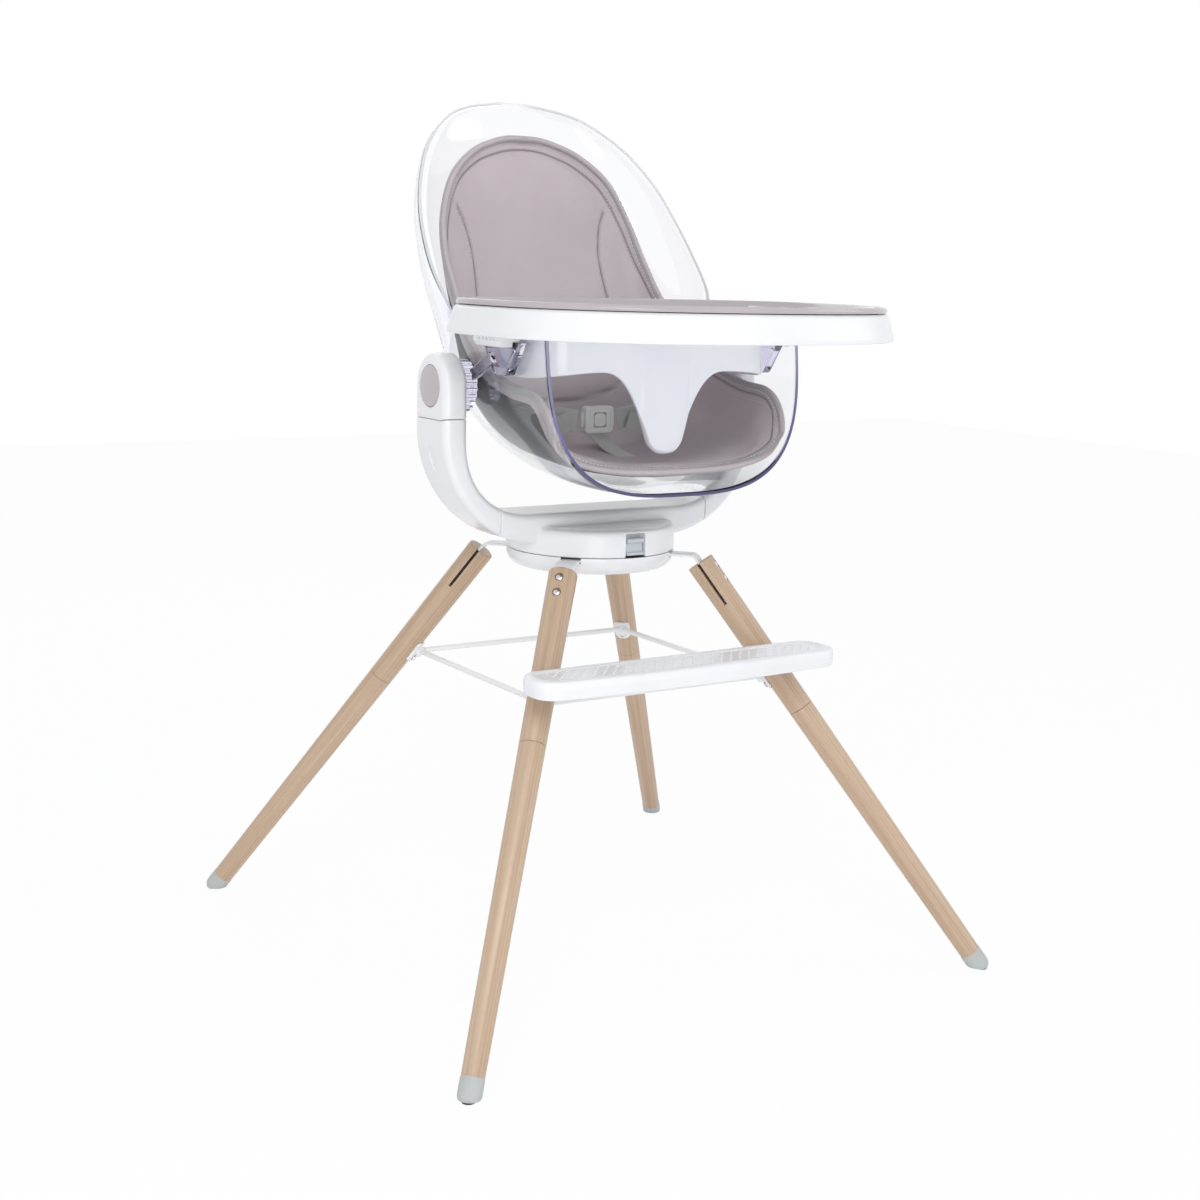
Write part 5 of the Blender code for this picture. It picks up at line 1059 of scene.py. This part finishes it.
def recline_hub():
    """Ribbed clear hub with its axle, the brace and the armrest post."""
    outline = []
    for tooth in range(22):
        for share, depth in ((0.04, 0.0), (0.44, 0.0), (0.54, 0.0016), (0.94, 0.0016)):
            angle = 2 * pi * (tooth + share) / 22
            outline.append(((RIB_HUB_RADIUS - depth) * cos(angle), PIVOT + (RIB_HUB_RADIUS - depth) * sin(angle)))
    hub = prism("recline_hub_right_finish", fillet(outline, 0.0006, 2), RIB_HUB_INNER, ARM_INNER - 0.0006, "X")
    axle = rod("axle", (ARM_INNER - 0.004, 0, PIVOT), (ARM_INNER + 0.0108, 0, PIVOT), 0.012, 48, 0.001)
    shape = fillet([(POST_FRONT, POST_TOP), (POST_REAR, POST_TOP), (POST_REAR - POST_TAPER, POST_BOTTOM),
                    (POST_FRONT + POST_TAPER, POST_BOTTOM)], [0.002, 0.002, 0.007, 0.007], 6)
    post = prism("post", shape, POST_INNER, POST_OUTER, "X", 0.0012)
    hollow = fillet([(POST_FRONT + 0.010, POST_TOP - 0.007), (POST_REAR - 0.010, POST_TOP - 0.007),
                     (POST_REAR - POST_TAPER - 0.001, POST_BOTTOM + 0.009),
                     (POST_FRONT + POST_TAPER + 0.001, POST_BOTTOM + 0.009)], 0.003, 5)
    cut(post, prism("hollow", hollow, POST_INNER + 0.003, POST_OUTER + 0.01, "X"))
    start = Vector((-RIB_HUB_RADIUS * 0.6, PIVOT + RIB_HUB_RADIUS * 0.35))
    end = Vector((POST_REAR - POST_TAPER * 0.7, (POST_TOP + POST_BOTTOM) / 2))
    run = (end - start).normalized()
    across = Vector((-run.y, run.x)) * 0.007
    brace = prism("brace", (start + across, start - across, end - across, end + across), RIB_HUB_INNER,
                  POST_OUTER - 0.002, "X", 0.0012)
    return union(hub, axle, union(post, brace))


for clear_piece in (*both_sides(recline_hub(), CLEAR_TINT, "seat", "clear_plastic", "recline_hub"), shell):
    clear_piece.visible_shadow = False

# ================================================================ seat pad
BACK_SEAM = ((0.108, 0.157, 0.906), (0.098, 0.148, 0.885), (0.092, 0.135, 0.849), (0.094, 0.114, 0.802),
             (0.099, 0.092, 0.760))
SEAT_SEAM = ((0.128, 0.060, 0.735), (0.085, 0.078, 0.690), (0.040, 0.083, 0.672), (0.0, 0.084, 0.668))
FOLDS = (((0.150, 0.010, 0.700), (0.128, 0.005, 0.668), (0.104, -0.004, 0.640)),
         ((0.060, 0.066, 0.640), (0.030, 0.052, 0.626), (0.0, 0.048, 0.622)))
COARSE = 4                  # grid steps of the finished pad in one step of the simulated sheet
SWELL_CAP = 0.0060          # most that the leather rises
SIM_FRAMES = 20
PINCH = 0.0170              # half width of the pinched top, which the binding bridges
EDGE_SEAM = 0.0098          # sewn line along the pad's edge, from the edge
EDGE_THREAD = 0.0140        # stitches along the pad's edge, from the edge
SEAM_THREADS = (-0.0034, 0.0034)    # stitches on both sides of a seam
UNDERSIDE_FROM = 0.012      # the outer face is cloth beyond this distance from the edge
THREAD_SINK = 0.0002
pad_rows, pad_steps = ((289, 132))
pad_grid = ribs(PAD_STATIONS, PAD_ROOM, pad_rows, pad_steps)
pad_normal = grid_normals(pad_grid)
pad_border = border(*pad_grid.shape[:2])
flat_pad, flat_normal = pad_grid.reshape(-1, 3), pad_normal.reshape(-1, 3)


def away_from(points):
    """Distance of each grid point of the pad from the nearest of the given points."""
    made = np.full(pad_grid.shape[:2], 1.0)
    for point in points:
        made = np.minimum(made, length(pad_grid - point))
    return made


def nearest(points):
    return np.array([length(flat_pad - point).argmin() for point in points])


def on_pad(line, count=60):
    """A smooth line through the given points, laid on the pad's child-side surface."""
    dense = even(spline(line, 80), count)
    near = nearest(dense)
    offset = np.sum((dense - flat_pad[near]) * flat_normal[near], 1, keepdims=True)
    return dense - offset * flat_normal[near], flat_normal[near]


def mirror_line(line):
    return [(-x, y, z) for x, y, z in line]


full_seat_seam = [*SEAT_SEAM, *mirror_line(SEAT_SEAM[-2::-1])]
distance = away_from([pad_grid[r, c] for r, c in pad_border[::3]])
seam_distance = away_from(np.vstack([even(spline(on_pad(line)[0][::3], 80), 90)
                                     for line in (BACK_SEAM, mirror_line(BACK_SEAM), full_seat_seam)]))


def swell(grid, normal, from_edge, from_seam):
    """Cloth simulation of the child-side leather: held at its edge and seams, pressed out by the foam."""
    rows, columns = grid.shape[:2]
    sheet = build("pad_sheet", grid.reshape(-1, 3), quads(rows, columns))
    if np.sum(np.array([p.normal for p in sheet.data.polygons]).mean(0) * normal.reshape(-1, 3).mean(0)) > 0:
        sheet.data.flip_normals()
    group = sheet.vertex_groups.new(name="held")
    held = np.maximum(np.clip(1.9 - from_edge / 0.008, 0, 1), np.clip(1.6 - from_seam / 0.0045, 0, 1))
    for index, weight in enumerate(held.reshape(-1)):
        if weight > 0.01:
            group.add([index], float(weight), "REPLACE")
    cloth = sheet.modifiers.new("cloth", "CLOTH")
    for key, value in dict(quality=6, mass=0.25, tension_stiffness=20, compression_stiffness=20, shear_stiffness=10,
                           bending_stiffness=4, air_damping=2.0, vertex_group_mass="held", use_pressure=True,
                           uniform_pressure_force=3.0, shrink_min=-0.006).items():
        setattr(cloth.settings, key, value)
    cloth.settings.effector_weights.gravity = 0
    cloth.collision_settings.use_collision = False
    cloth.point_cache.frame_start = 1
    cloth.point_cache.frame_end = SIM_FRAMES
    for step in range(1, SIM_FRAMES + 1):
        SCENE.frame_set(step)
    result = sheet.evaluated_get(bpy.context.evaluated_depsgraph_get()).to_mesh()
    points = np.empty(len(result.vertices) * 3)
    result.vertices.foreach_get("co", points)
    change = points.reshape(rows, columns, 3) - grid
    discard(sheet)
    SCENE.frame_set(1)
    size = np.maximum(length(change)[..., None], 1e-9)
    return change / size * SWELL_CAP * np.tanh(size / SWELL_CAP)


def finer(values, *counts):
    """Reads a coarse field at the fine grid's points."""
    for axis in (1, 0):
        old = np.arange(values.shape[axis])
        want = np.linspace(0, old[-1], counts[axis])
        values = np.apply_along_axis(lambda line: np.interp(want, old, line), axis, values)
    return values


def blurred(values, rounds):
    """Evens a field out over the grid while its border stays put."""
    for _ in range(rounds):
        around = (values[:-2, 1:-1] + values[2:, 1:-1] + values[1:-1, :-2] + values[1:-1, 2:]) / 4
        values = values.copy()
        values[1:-1, 1:-1] = values[1:-1, 1:-1] * 0.4 + around * 0.6
    return values


raised = swell(*(field[::COARSE, ::COARSE] for field in (pad_grid, pad_normal, distance, seam_distance)))
change = blurred(finer(blurred(raised, 3), *pad_grid.shape[:2]), 8)
inner_line = np.abs(distance - EDGE_SEAM)
sunk = 0.0020 * np.exp(-(seam_distance / 0.0018) ** 2) + 0.0010 * np.exp(-(seam_distance / 0.007) ** 2)
sunk += 0.0014 * np.exp(-(inner_line / 0.0014) ** 2)
for line in FOLDS:
    for points in (line, mirror_line(line)):
        fold = even(spline(on_pad(points, 24)[0], 80), 40)
        sunk += 0.0011 * np.exp(-(away_from(fold) / 0.005) ** 2)
sunk += 0.0003 * np.sin(pad_grid[..., 0] * 95 + 2.0 * np.sin(pad_grid[..., 2] * 40)) * np.clip(distance / 0.03, 0, 1)
thin = 0.55 + 0.45 * np.clip(distance / 0.018, 0, 1) ** 0.7
pad_inner = pad_grid + change + pad_normal * (sunk + PAD_THICKNESS * (1 - thin) * 0.5)[..., None]
pad_outer = pad_grid + pad_normal * (PAD_THICKNESS * (0.5 + thin * 0.5))[..., None]
pad, side_faces = thick("seat_pad_finish", pad_inner, pad_outer, 3, 60)
cloth_faces = np.zeros(len(pad.data.polygons), int)
cloth_faces[:side_faces] = ((distance[:-1, :-1] + distance[1:, 1:]) / 2 > UNDERSIDE_FROM).reshape(-1)
# painted shade along the sunken seams and the sewn line by the edge, on the child-side face
seam_shade = np.zeros(len(pad.data.vertices))
seam_shade[distance.size:2 * distance.size] = np.maximum(
    np.exp(-(seam_distance / 0.0013) ** 2), 0.9 * np.exp(-(inner_line / 0.0012) ** 2)).reshape(-1)
pad.data.attributes.new("painted_seam_shade", "FLOAT", "POINT").data.foreach_set("value", seam_shade)
dress(pad, (LEATHER, UNDERSIDE), "seat", "mauve_leather", "seat_pad", faces=cloth_faces)


# binding round the pad's edge, and its stitching
def smooth_loop(values, rounds):
    for _ in range(rounds):
        values = (np.roll(values, 1, 0) + values * 2 + np.roll(values, -1, 0)) / 4
    return values


middle = (pad_inner + pad_outer) / 2
edge = np.array([[*middle[r, c], *pad_normal[r, c]] for r, c in pad_border])
edge = np.hstack([edge, outward(pad_grid)])
edge = edge[~((np.abs(edge[:, 0]) < PINCH) & (edge[:, 2] > 0.95))]
edge = np.vstack([edge, edge[:1]])
run = run_along(edge[:, :3])
edge = read(np.linspace(0, run[-1], 901)[:-1], run, edge)
place, turning = smooth_loop(edge[:, :3], 16), smooth_loop(edge[:, 3:], 30)
tangent = unit(np.roll(place, -1, 0) - np.roll(place, 1, 0))
normal = square_to(unit(turning[:, :3]), tangent)
away = np.cross(tangent, normal)
away = away * np.sign(np.sum(away * turning[:, 3:]))
section = fillet([(-0.0065, -0.0040), (0.0020, -0.0036), (0.0020, 0.0036), (-0.0065, 0.0040)],
                 [0.0010, 0.0030, 0.0030, 0.0010], 6)
dress(sweep("pad_binding", place, away, normal, section, True, 50), BINDING, "seat", "mauve_leather")
place, normal, away = (np.vstack([values, values[:1]]) for values in (place, normal, away))
row = stitches("pad_binding_stitches", place - normal * 0.0043 - away * 0.0042, -normal, 0.0050, 0.0036, 0.00085)
dress(row, THREAD, "seat", "mauve_leather")


def smooth_open(points, rounds=4):
    points = points.copy()
    for _ in range(rounds):
        points[1:-1] = (points[:-2] + 2 * points[1:-1] + points[2:]) / 4
    return points


def surface_row(name, line, offset):
    """Stitches beside a seam, on the swollen leather."""
    points = on_pad(line, 90)[0]
    normal = flat_normal[nearest(points)]
    target = points + unit(np.cross(normal, unit(np.gradient(points, axis=0)))) * offset
    near = nearest(target)
    lift = np.sum((pad_inner.reshape(-1, 3)[near] - flat_pad[near]) * normal, 1)
    points = smooth_open(target + normal * lift[:, None] - normal * THREAD_SINK)
    dress(stitches(name, points, -normal, 0.0040, 0.0030, 0.0006), THREAD, "seat", "mauve_leather")


for word, line in (("back_stitches_right", BACK_SEAM), ("back_stitches_left", mirror_line(BACK_SEAM)),
                   ("seat_stitches", full_seat_seam)):
    for step, offset in enumerate(SEAM_THREADS):
        surface_row(f"pad_{word}_{step}", line, offset)
inset_row = int(round(EDGE_THREAD / length(pad_grid[1, pad_steps] - pad_grid[0, pad_steps])))
inset_column = int(round(EDGE_THREAD / length(pad_grid[pad_rows // 2, 1] - pad_grid[pad_rows // 2, 0])))
for word, pick in (("front", (inset_row, slice(4, -4))), ("left", (slice(inset_row, pad_rows - 2), inset_column)),
                   ("right", (slice(inset_row, pad_rows - 2), -1 - inset_column))):
    line, normal = pad_inner[pick], pad_normal[pick]
    row = stitches(f"pad_edge_stitches_{word}", smooth_open(line) - normal * THREAD_SINK, -normal)
    dress(row, THREAD, "seat", "mauve_leather")

# slot in the pad for the crotch strap
slot_line, slot_normal = on_pad(((-0.001, -0.138, 0.616), (0.001, -0.138, 0.616)), 3)
slot_turn = Vector((0, 0, 1)).rotation_difference(-Vector(slot_normal[1])).to_matrix().to_4x4()
slot_frame = shift(*slot_line[1]) @ slot_turn


def oval_ring(half_x, half_y, rise, count=48):
    outline = fillet(centred(half_x, half_y), half_y * 0.95, 10)
    points = even(np.array(outline + outline[:1]), count + 1)[:-1]
    return np.hstack([points, np.full((count, 1), rise)])


lip = ring_tube("pad_slot_binding", oval_ring(0.0165, 0.0050, 0.0022), 0.0014)
dress(moved(lip, slot_frame), BINDING, "seat", "mauve_leather")
# a dark sheet down in the slot's opening is painted shadow
inset = loft("pad_slot_opening", [oval_ring(0.0160, 0.0046, rise) for rise in (-0.001, 0.0021)])
dress(moved(inset, slot_frame), SHADOW_GAP, "seat", "mauve_leather")


# ================================================================ harness
def webbing(name, route, width_axis, width, thickness, count, *nodes):
    """Flat strap along a smooth route, its width along the given axis."""
    path = even(spline(route, 60), count)
    tangent = unit(np.gradient(path, axis=0))
    side = square_to(np.tile(np.array(width_axis, float), (count, 1)), tangent)
    section = fillet(centred(width / 2, thickness / 2), thickness / 2 * 0.95, 4)
    strap = sweep(name, path, side, np.cross(tangent, side), section, False, 50)
    dress(strap, WEBBING, "seat", "grey_webbing", *nodes)


STRAP_START = 0.033         # where the waist strap leaves the buckle's tongue
span = STRAP_REACH + 0.004 - STRAP_START
for side, word in ((-1, "left"), (1, "right")):
    route = [(side * (STRAP_START + span * share - 0.004 * (share == 0)), BUCKLE_Y + back, BUCKLE_Z + rise)
             for share, back, rise in
             ((0.0, 0.0, 0.0), (0.44, 0.010, 0.006), (0.775, 0.024, 0.012), (1.0, 0.038, 0.017))]
    webbing(f"waist_strap_{word}_finish", route, (0, 0, 1), 0.025, 0.0018, 48, f"waist_strap_{word}")
    loose = [(side * (STRAP_START + out), BUCKLE_Y + back, BUCKLE_Z + rise) for out, back, rise in
             ((0.010, -0.0030, -0.001), (0.026, -0.0030, -0.006), (0.046, 0.0040, -0.015), (0.062, 0.0130, -0.021))]
    webbing(f"waist_strap_tail_{word}", loose, (0.25 * side, 0, 1), 0.0225, 0.0015, 36)
crotch_route = [(0, y, BUCKLE_Z - drop) for y, drop in (
    (BUCKLE_Y - 0.001, 0.0150), (BUCKLE_Y - 0.004, 0.0200), (-0.050, 0.0340), (-0.095, 0.0405), (-0.132, 0.0402),
    (-0.1385, 0.0425))]
webbing("crotch_strap_finish", crotch_route, (1, 0, 0), 0.025, 0.0018, 60, "crotch_strap")


def buckle():
    """Centre-push buckle: body with a raised rim, a pocket for its key, grooves and slots."""
    half_d, front = 0.0065, BUCKLE_Y - 0.02
    body = prism("buckle_body_finish", fillet(centred(0.0200, 0.0165, 0, BUCKLE_Z), 0.0050, 8), BUCKLE_Y - half_d,
                 BUCKLE_Y + half_d, "Y", 0.0022, 4)
    cut(body, prism("pocket", fillet(centred(0.0092, 0.0092, 0, BUCKLE_Z), 0.0030, 6), front,
                    BUCKLE_Y - half_d + 0.0058, "Y"))
    for side in (-1, 1):
        cut(body, block("groove", (side * 0.0148 - 0.0007, front, BUCKLE_Z - 0.0120),
                        (side * 0.0148 + 0.0007, BUCKLE_Y - half_d + 0.0008, BUCKLE_Z + 0.0120)),
            block("slot", (side * 0.0172 - 0.0045 * (side < 0), BUCKLE_Y - 0.0022, BUCKLE_Z - 0.0096),
                  (side * 0.0172 + 0.0045 * (side > 0), BUCKLE_Y + 0.0022, BUCKLE_Z + 0.0096)))
    return body


def buckle_key():
    """Waisted push key with a shallow dished face."""
    outline = []
    for turn in (2 * pi * step / 64 for step in range(64)):
        waist = 1 - 0.10 * cos(2 * turn) ** 2 * (abs(cos(turn)) < 0.9)
        outline.append((0.0083 * signed_power(cos(turn), 0.55) * waist, 0.0083 * signed_power(sin(turn), 0.55)))
    front = BUCKLE_Y - 0.0071
    levels = ((1.0, 0.0041), (1.0, 0.0010), (0.97, 0.0003), (0.90, 0.0), (0.78, 0.0002), (0.62, 0.0007),
              (0.35, 0.0010), (0.08, 0.0011))
    rings = [[(u * s, front + y, BUCKLE_Z + v * s) for u, v in outline] for s, y in levels]
    return loft("buckle_button_finish", rings, 40)


def tongue():
    """Side frame that plugs into the buckle, with a bar that the waist strap is threaded round."""
    low_x, high_x, half_h, half_d = 0.0204, 0.0332, 0.0165, 0.0038
    shape = fillet([(low_x, BUCKLE_Z - half_h), (high_x, BUCKLE_Z - half_h + 0.002),
                    (high_x, BUCKLE_Z + half_h - 0.002), (low_x, BUCKLE_Z + half_h)],
                   [0.0010, 0.0035, 0.0035, 0.0010], 6)
    plate = prism("buckle_tongue_right_finish", shape, BUCKLE_Y - half_d, BUCKLE_Y + half_d, "Y", 0.0010, 3)
    for start in (0.0236, 0.0285):
        hole = fillet(rect(start, BUCKLE_Z - 0.0130, start + 0.0028, BUCKLE_Z + 0.0130), 0.0008, 3)
        cut(plate, prism("hole", hole, BUCKLE_Y - 0.02, BUCKLE_Y - half_d + 0.0028, "Y"))
    return union(plate, block("plug", (0.0150, BUCKLE_Y - 0.0015, BUCKLE_Z - 0.0088),
                              (0.0235, BUCKLE_Y + 0.0015, BUCKLE_Z + 0.0088), 0.0003))


dress(buckle(), BUCKLE, "seat", "buckle_grey", "buckle_body")
dress(buckle_key(), BUCKLE, "buckle_button", "buckle_grey", "buckle_button")
both_sides(tongue(), BUCKLE, "seat", "buckle_grey", "buckle_tongue")


# ================================================================ tray
def tray_outline(inset, count=176):
    half = TRAY_HALF_WIDTH - inset
    quarter = np.linspace(0, 1, 240) ** 2 * 0.5
    quarter = np.concatenate([quarter, 1 - quarter[::-1][1:]]) * pi / 2
    points = []
    for start in range(4):
        for angle in quarter[:-1] + start * pi / 2:
            behind = sin(angle) > 0 if start > 1 else True
            reach = (TRAY_REAR - TRAY_CENTRE if behind else TRAY_CENTRE - TRAY_FRONT) - inset
            across, along = (4.0, 4.5) if behind else (2.25, 2.25)
            points.append((half * signed_power(cos(angle), 2 / across),
                           TRAY_CENTRE + reach * signed_power(sin(angle), 2 / along)))
    return even(np.array(points + points[:1]), count + 1)[:-1]


def tray_loft(name, points, radii):
    """Closed body over the tray's outline from a profile of (inset, height)."""
    profile = fillet(points, radii, 6, False)
    return loft(name, [[(x, y, z) for x, y in tray_outline(inset)] for inset, z in profile])


under = TRAY_FLOOR - 0.003
base = tray_loft("tray_base_finish", [
    (0.033, under), (0.0155, under), (0.0035, TRAY_LOW + 0.0005), (0.0, TRAY_LOW + 0.0005), (0.0, TRAY_LOW + 0.006),
    (0.0035, TRAY_LOW + 0.019), (0.0062, TRAY_RIM - 0.003), (0.0105, TRAY_RIM + 0.0002), (0.0180, TRAY_RIM - 0.0022),
    (0.0262, TRAY_FLOOR)], [0, 0.004, 0.0012, 0.0016, 0.006, 0.02, 0.004, 0.003, 0.005, 0])
dress(base, WHITE, "tray", "white_plastic", "tray_base")

floor = TRAY_FLOOR + GAP
top = floor + 0.0057
insert = tray_loft("tray_insert_finish", [
    (0.0275, floor), (0.0195, TRAY_RIM - 0.0018), (0.0120, TRAY_RIM + 0.0006), (0.0085, TRAY_RIM + 0.0008),
    (0.0080, TRAY_RIM + 0.0035), (0.0100, INSERT_RIM), (0.0140, INSERT_RIM - 0.0008), (0.0240, TRAY_RIM - 0.0040),
    (0.0300, top), (0.0380, top)], [0, 0.002, 0.001, 0.0006, 0.002, 0.0024, 0.003, 0.01, 0.006, 0])
r, cup_place = CUP_RADIUS, shift(CUP_X, CUP_Y, 0)
cup = lathe("cup", fillet([(0, top - 0.0034), (r - 0.002, top - 0.0034), (r, top + 0.0002), (r + 0.002, top + 0.01),
                           (0, top + 0.01)], [0, 0.0018, 0.001, 0, 0], 6, False), 96)
dress(cut(insert, moved(cup, cup_place)), INSERT, "tray_insert", "mauve_plastic", "tray_insert")
collar = lathe("cup_collar", fillet(
    [(r + 0.0075, top - 0.0005), (r + 0.0055, INSERT_RIM - 0.0048), (r + 0.0020, INSERT_RIM - 0.0048),
     (r + 0.0004, top - 0.0005)], [0.0004, 0.0017, 0.0017, 0.0004], 6), 128)
dress(moved(collar, cup_place), INSERT, "tray_insert", "mauve_plastic")
circle = np.array([(CUP_X + (r - 0.010) * cos(t), CUP_Y + (r - 0.010) * sin(t), top - 0.0033)
                   for t in np.linspace(0, 2 * pi, 97)[:-1]])
dress(ring_tube("cup_inner_ring", circle, 0.0009), INSERT, "tray_insert", "mauve_plastic")


def apron_edge(x):
    """Height of the apron's lower edge."""
    side = abs(x)
    if side < CROTCH_HALF_WIDTH:
        return CROTCH_LOW + CROTCH_ROUND * (side / CROTCH_HALF_WIDTH) ** 3
    share = (side - CROTCH_HALF_WIDTH) / (LOBE_CENTRE - CROTCH_HALF_WIDTH)
    if share < 1.0:
        rise = APRON_LOBE - CROTCH_LOW - CROTCH_ROUND
        return CROTCH_LOW + CROTCH_ROUND + rise * (1 - (1 - share) ** 2.4)
    return APRON_LOBE - (APRON_LOBE - APRON_EDGE) * ((side - LOBE_CENTRE) / (APRON_HALF_WIDTH - LOBE_CENTRE)) ** 2


def apron():
    """Skirt with rolled edges that thickens into the horn between the child's legs."""
    half, straight, edge, wall = APRON_HALF_WIDTH, APRON_HALF_WIDTH - APRON_CORNER, 0.0024, 0.0015
    plan = [(-half, APRON_REAR), (-half, APRON_FRONT + APRON_CORNER)]
    plan += [(-straight + APRON_CORNER * cos(t), APRON_FRONT + APRON_CORNER + APRON_CORNER * sin(t))
             for t in np.radians(np.linspace(180, 270, 25)[1:])]
    path = even(np.array(plan + [(-x, y) for x, y in reversed(plan)]), 301)
    tangent = unit(np.gradient(path, axis=0))
    shares = np.linspace(0, 1, 12)
    rings = []
    for (x, y), (run_x, run_y) in zip(path, tangent):
        low = apron_edge(x) + edge
        fat = 0.0075 * max(0.0, 1 - (abs(x) / 0.034) ** 2) ** 0.8

        def side(t, share):
            """Distance of a face from the sheet's middle, and its height."""
            grown = fat * share * sin(min(1.0, t * 1.1) * pi / 2) ** 2
            return wall + grown + 0.0010 * max(0.0, 1 - (1 - t) * 9), under - 0.0002 + (low - under + 0.0002) * t
        section = [(-out, z) for out, z in (side(t, 1.0) for t in shares)]
        front, back = -section[-1][0], wall + fat * 0.25 + 0.0010
        section += [(-front + (front + back) * (1 - cos(t)) / 2, low - (edge + fat * 0.35) * sin(t))
                    for t in np.radians(np.linspace(0, 180, 11)[1:-1])]
        section += [side(t, 0.25) for t in shares[::-1]]
        rings.append([(x - run_y * out, y + run_x * out, z) for out, z in section])
    return loft("tray_apron_finish", rings, 50)


dress(apron(), APRON_WHITE_LIT, "tray", "white_plastic", "tray_apron")


LATCH_CLEAR = 0.0008        # room between a latch and the post's top


def tray_latch():
    """Hook over the armrest post, with a ribbed grip."""
    inner, outer = SEAT_HALF_WIDTH + 0.0035, SEAT_HALF_WIDTH + 0.0305
    hook, low, rest, high = POST_OUTER + 0.0016, POST_TOP - 0.0052, POST_TOP + LATCH_CLEAR, under - GAP
    section = fillet([(inner, rest), (hook, rest), (hook, low), (outer - 0.004, low), (outer, low + 0.006),
                      (outer, high), (inner, high)], [0.0012, 0.0008, 0.0015, 0.0025, 0.004, 0.001, 0.001], 5)
    grip = prism("tray_latch_right_finish", section, POST_FRONT + 0.010, POST_REAR - 0.014, "Y", 0.0012)
    for y in ((POST_FRONT + POST_REAR) / 2 - 0.020 + 0.008 * step for step in range(5)):
        cut(grip, block("rib", (outer - 0.0009, y - 0.0013, low + 0.007), (outer + 0.004, y + 0.0013, high - 0.003)))
    return grip


both_sides(tray_latch(), WHITE, "tray_latch", "white_plastic", "tray_latch")

# ================================================================ stage, light, camera
floor_mesh = build("studio_floor", [(x, y, 0) for x, y in centred(6, 6)], [(0, 1, 2, 3)])
if floor_mesh.data.polygons[0].normal.z < 0:
    floor_mesh.data.flip_normals()
FLOOR_GLOW = 0.93           # share of plain white in the floor that the camera sees
AMBIENT = 0.70
stage = look_nodes("studio_floor", 0.9, Base_Color=(0.94, 0.94, 0.945, 1))
stage.blend(stage.math("MULTIPLY", stage.seen(), FLOOR_GLOW), stage.main.outputs["BSDF"], stage.add("Emission"),
            "Material Output")
floor_mesh.data.materials.append(stage.owner)

SCENE.world = bpy.data.worlds.new("studio")
sky = Nodes(SCENE.world)
sky.blend(sky.seen(), sky.add("Background", Color=(0.97, 0.98, 1.0, 1), Strength=AMBIENT),
          sky.add("Background", Color=(1, 1, 1, 1), Strength=1.0), "World Output")


def lamp(name, place, aim_height, size, watts):
    data = bpy.data.lights.new(name, "AREA")
    data.shape = "DISK"
    data.size = size
    data.energy = watts
    made = linked(name, data)
    made.location = place
    made.rotation_euler = (Vector((0, 0, aim_height)) - Vector(place)).to_track_quat("-Z", "Y").to_euler()


lamp("key", (-1.6, -2.4, 2.6), 0.6, 1.6, 30)
lamp("fill", (2.6, -1.4, 1.6), 0.6, 2.0, 8)
lamp("back", (0.6, 2.6, 2.4), 0.7, 1.8, 11)
lamp("front", (-1.1, -2.5, 0.50), 0.66, 1.2, 9)

camera = linked("camera", bpy.data.cameras.new("camera"))
camera.data.lens = 53.0
camera.data.sensor_width = 36.0
camera.location = (-1.1681, -1.8224, 0.838)
camera.rotation_euler = (spin(-33.05) @ spin(90 - 10.71, "X") @ spin(1.54)).to_euler()
SCENE.camera = camera
SCENE.view_settings.view_transform = "Standard"
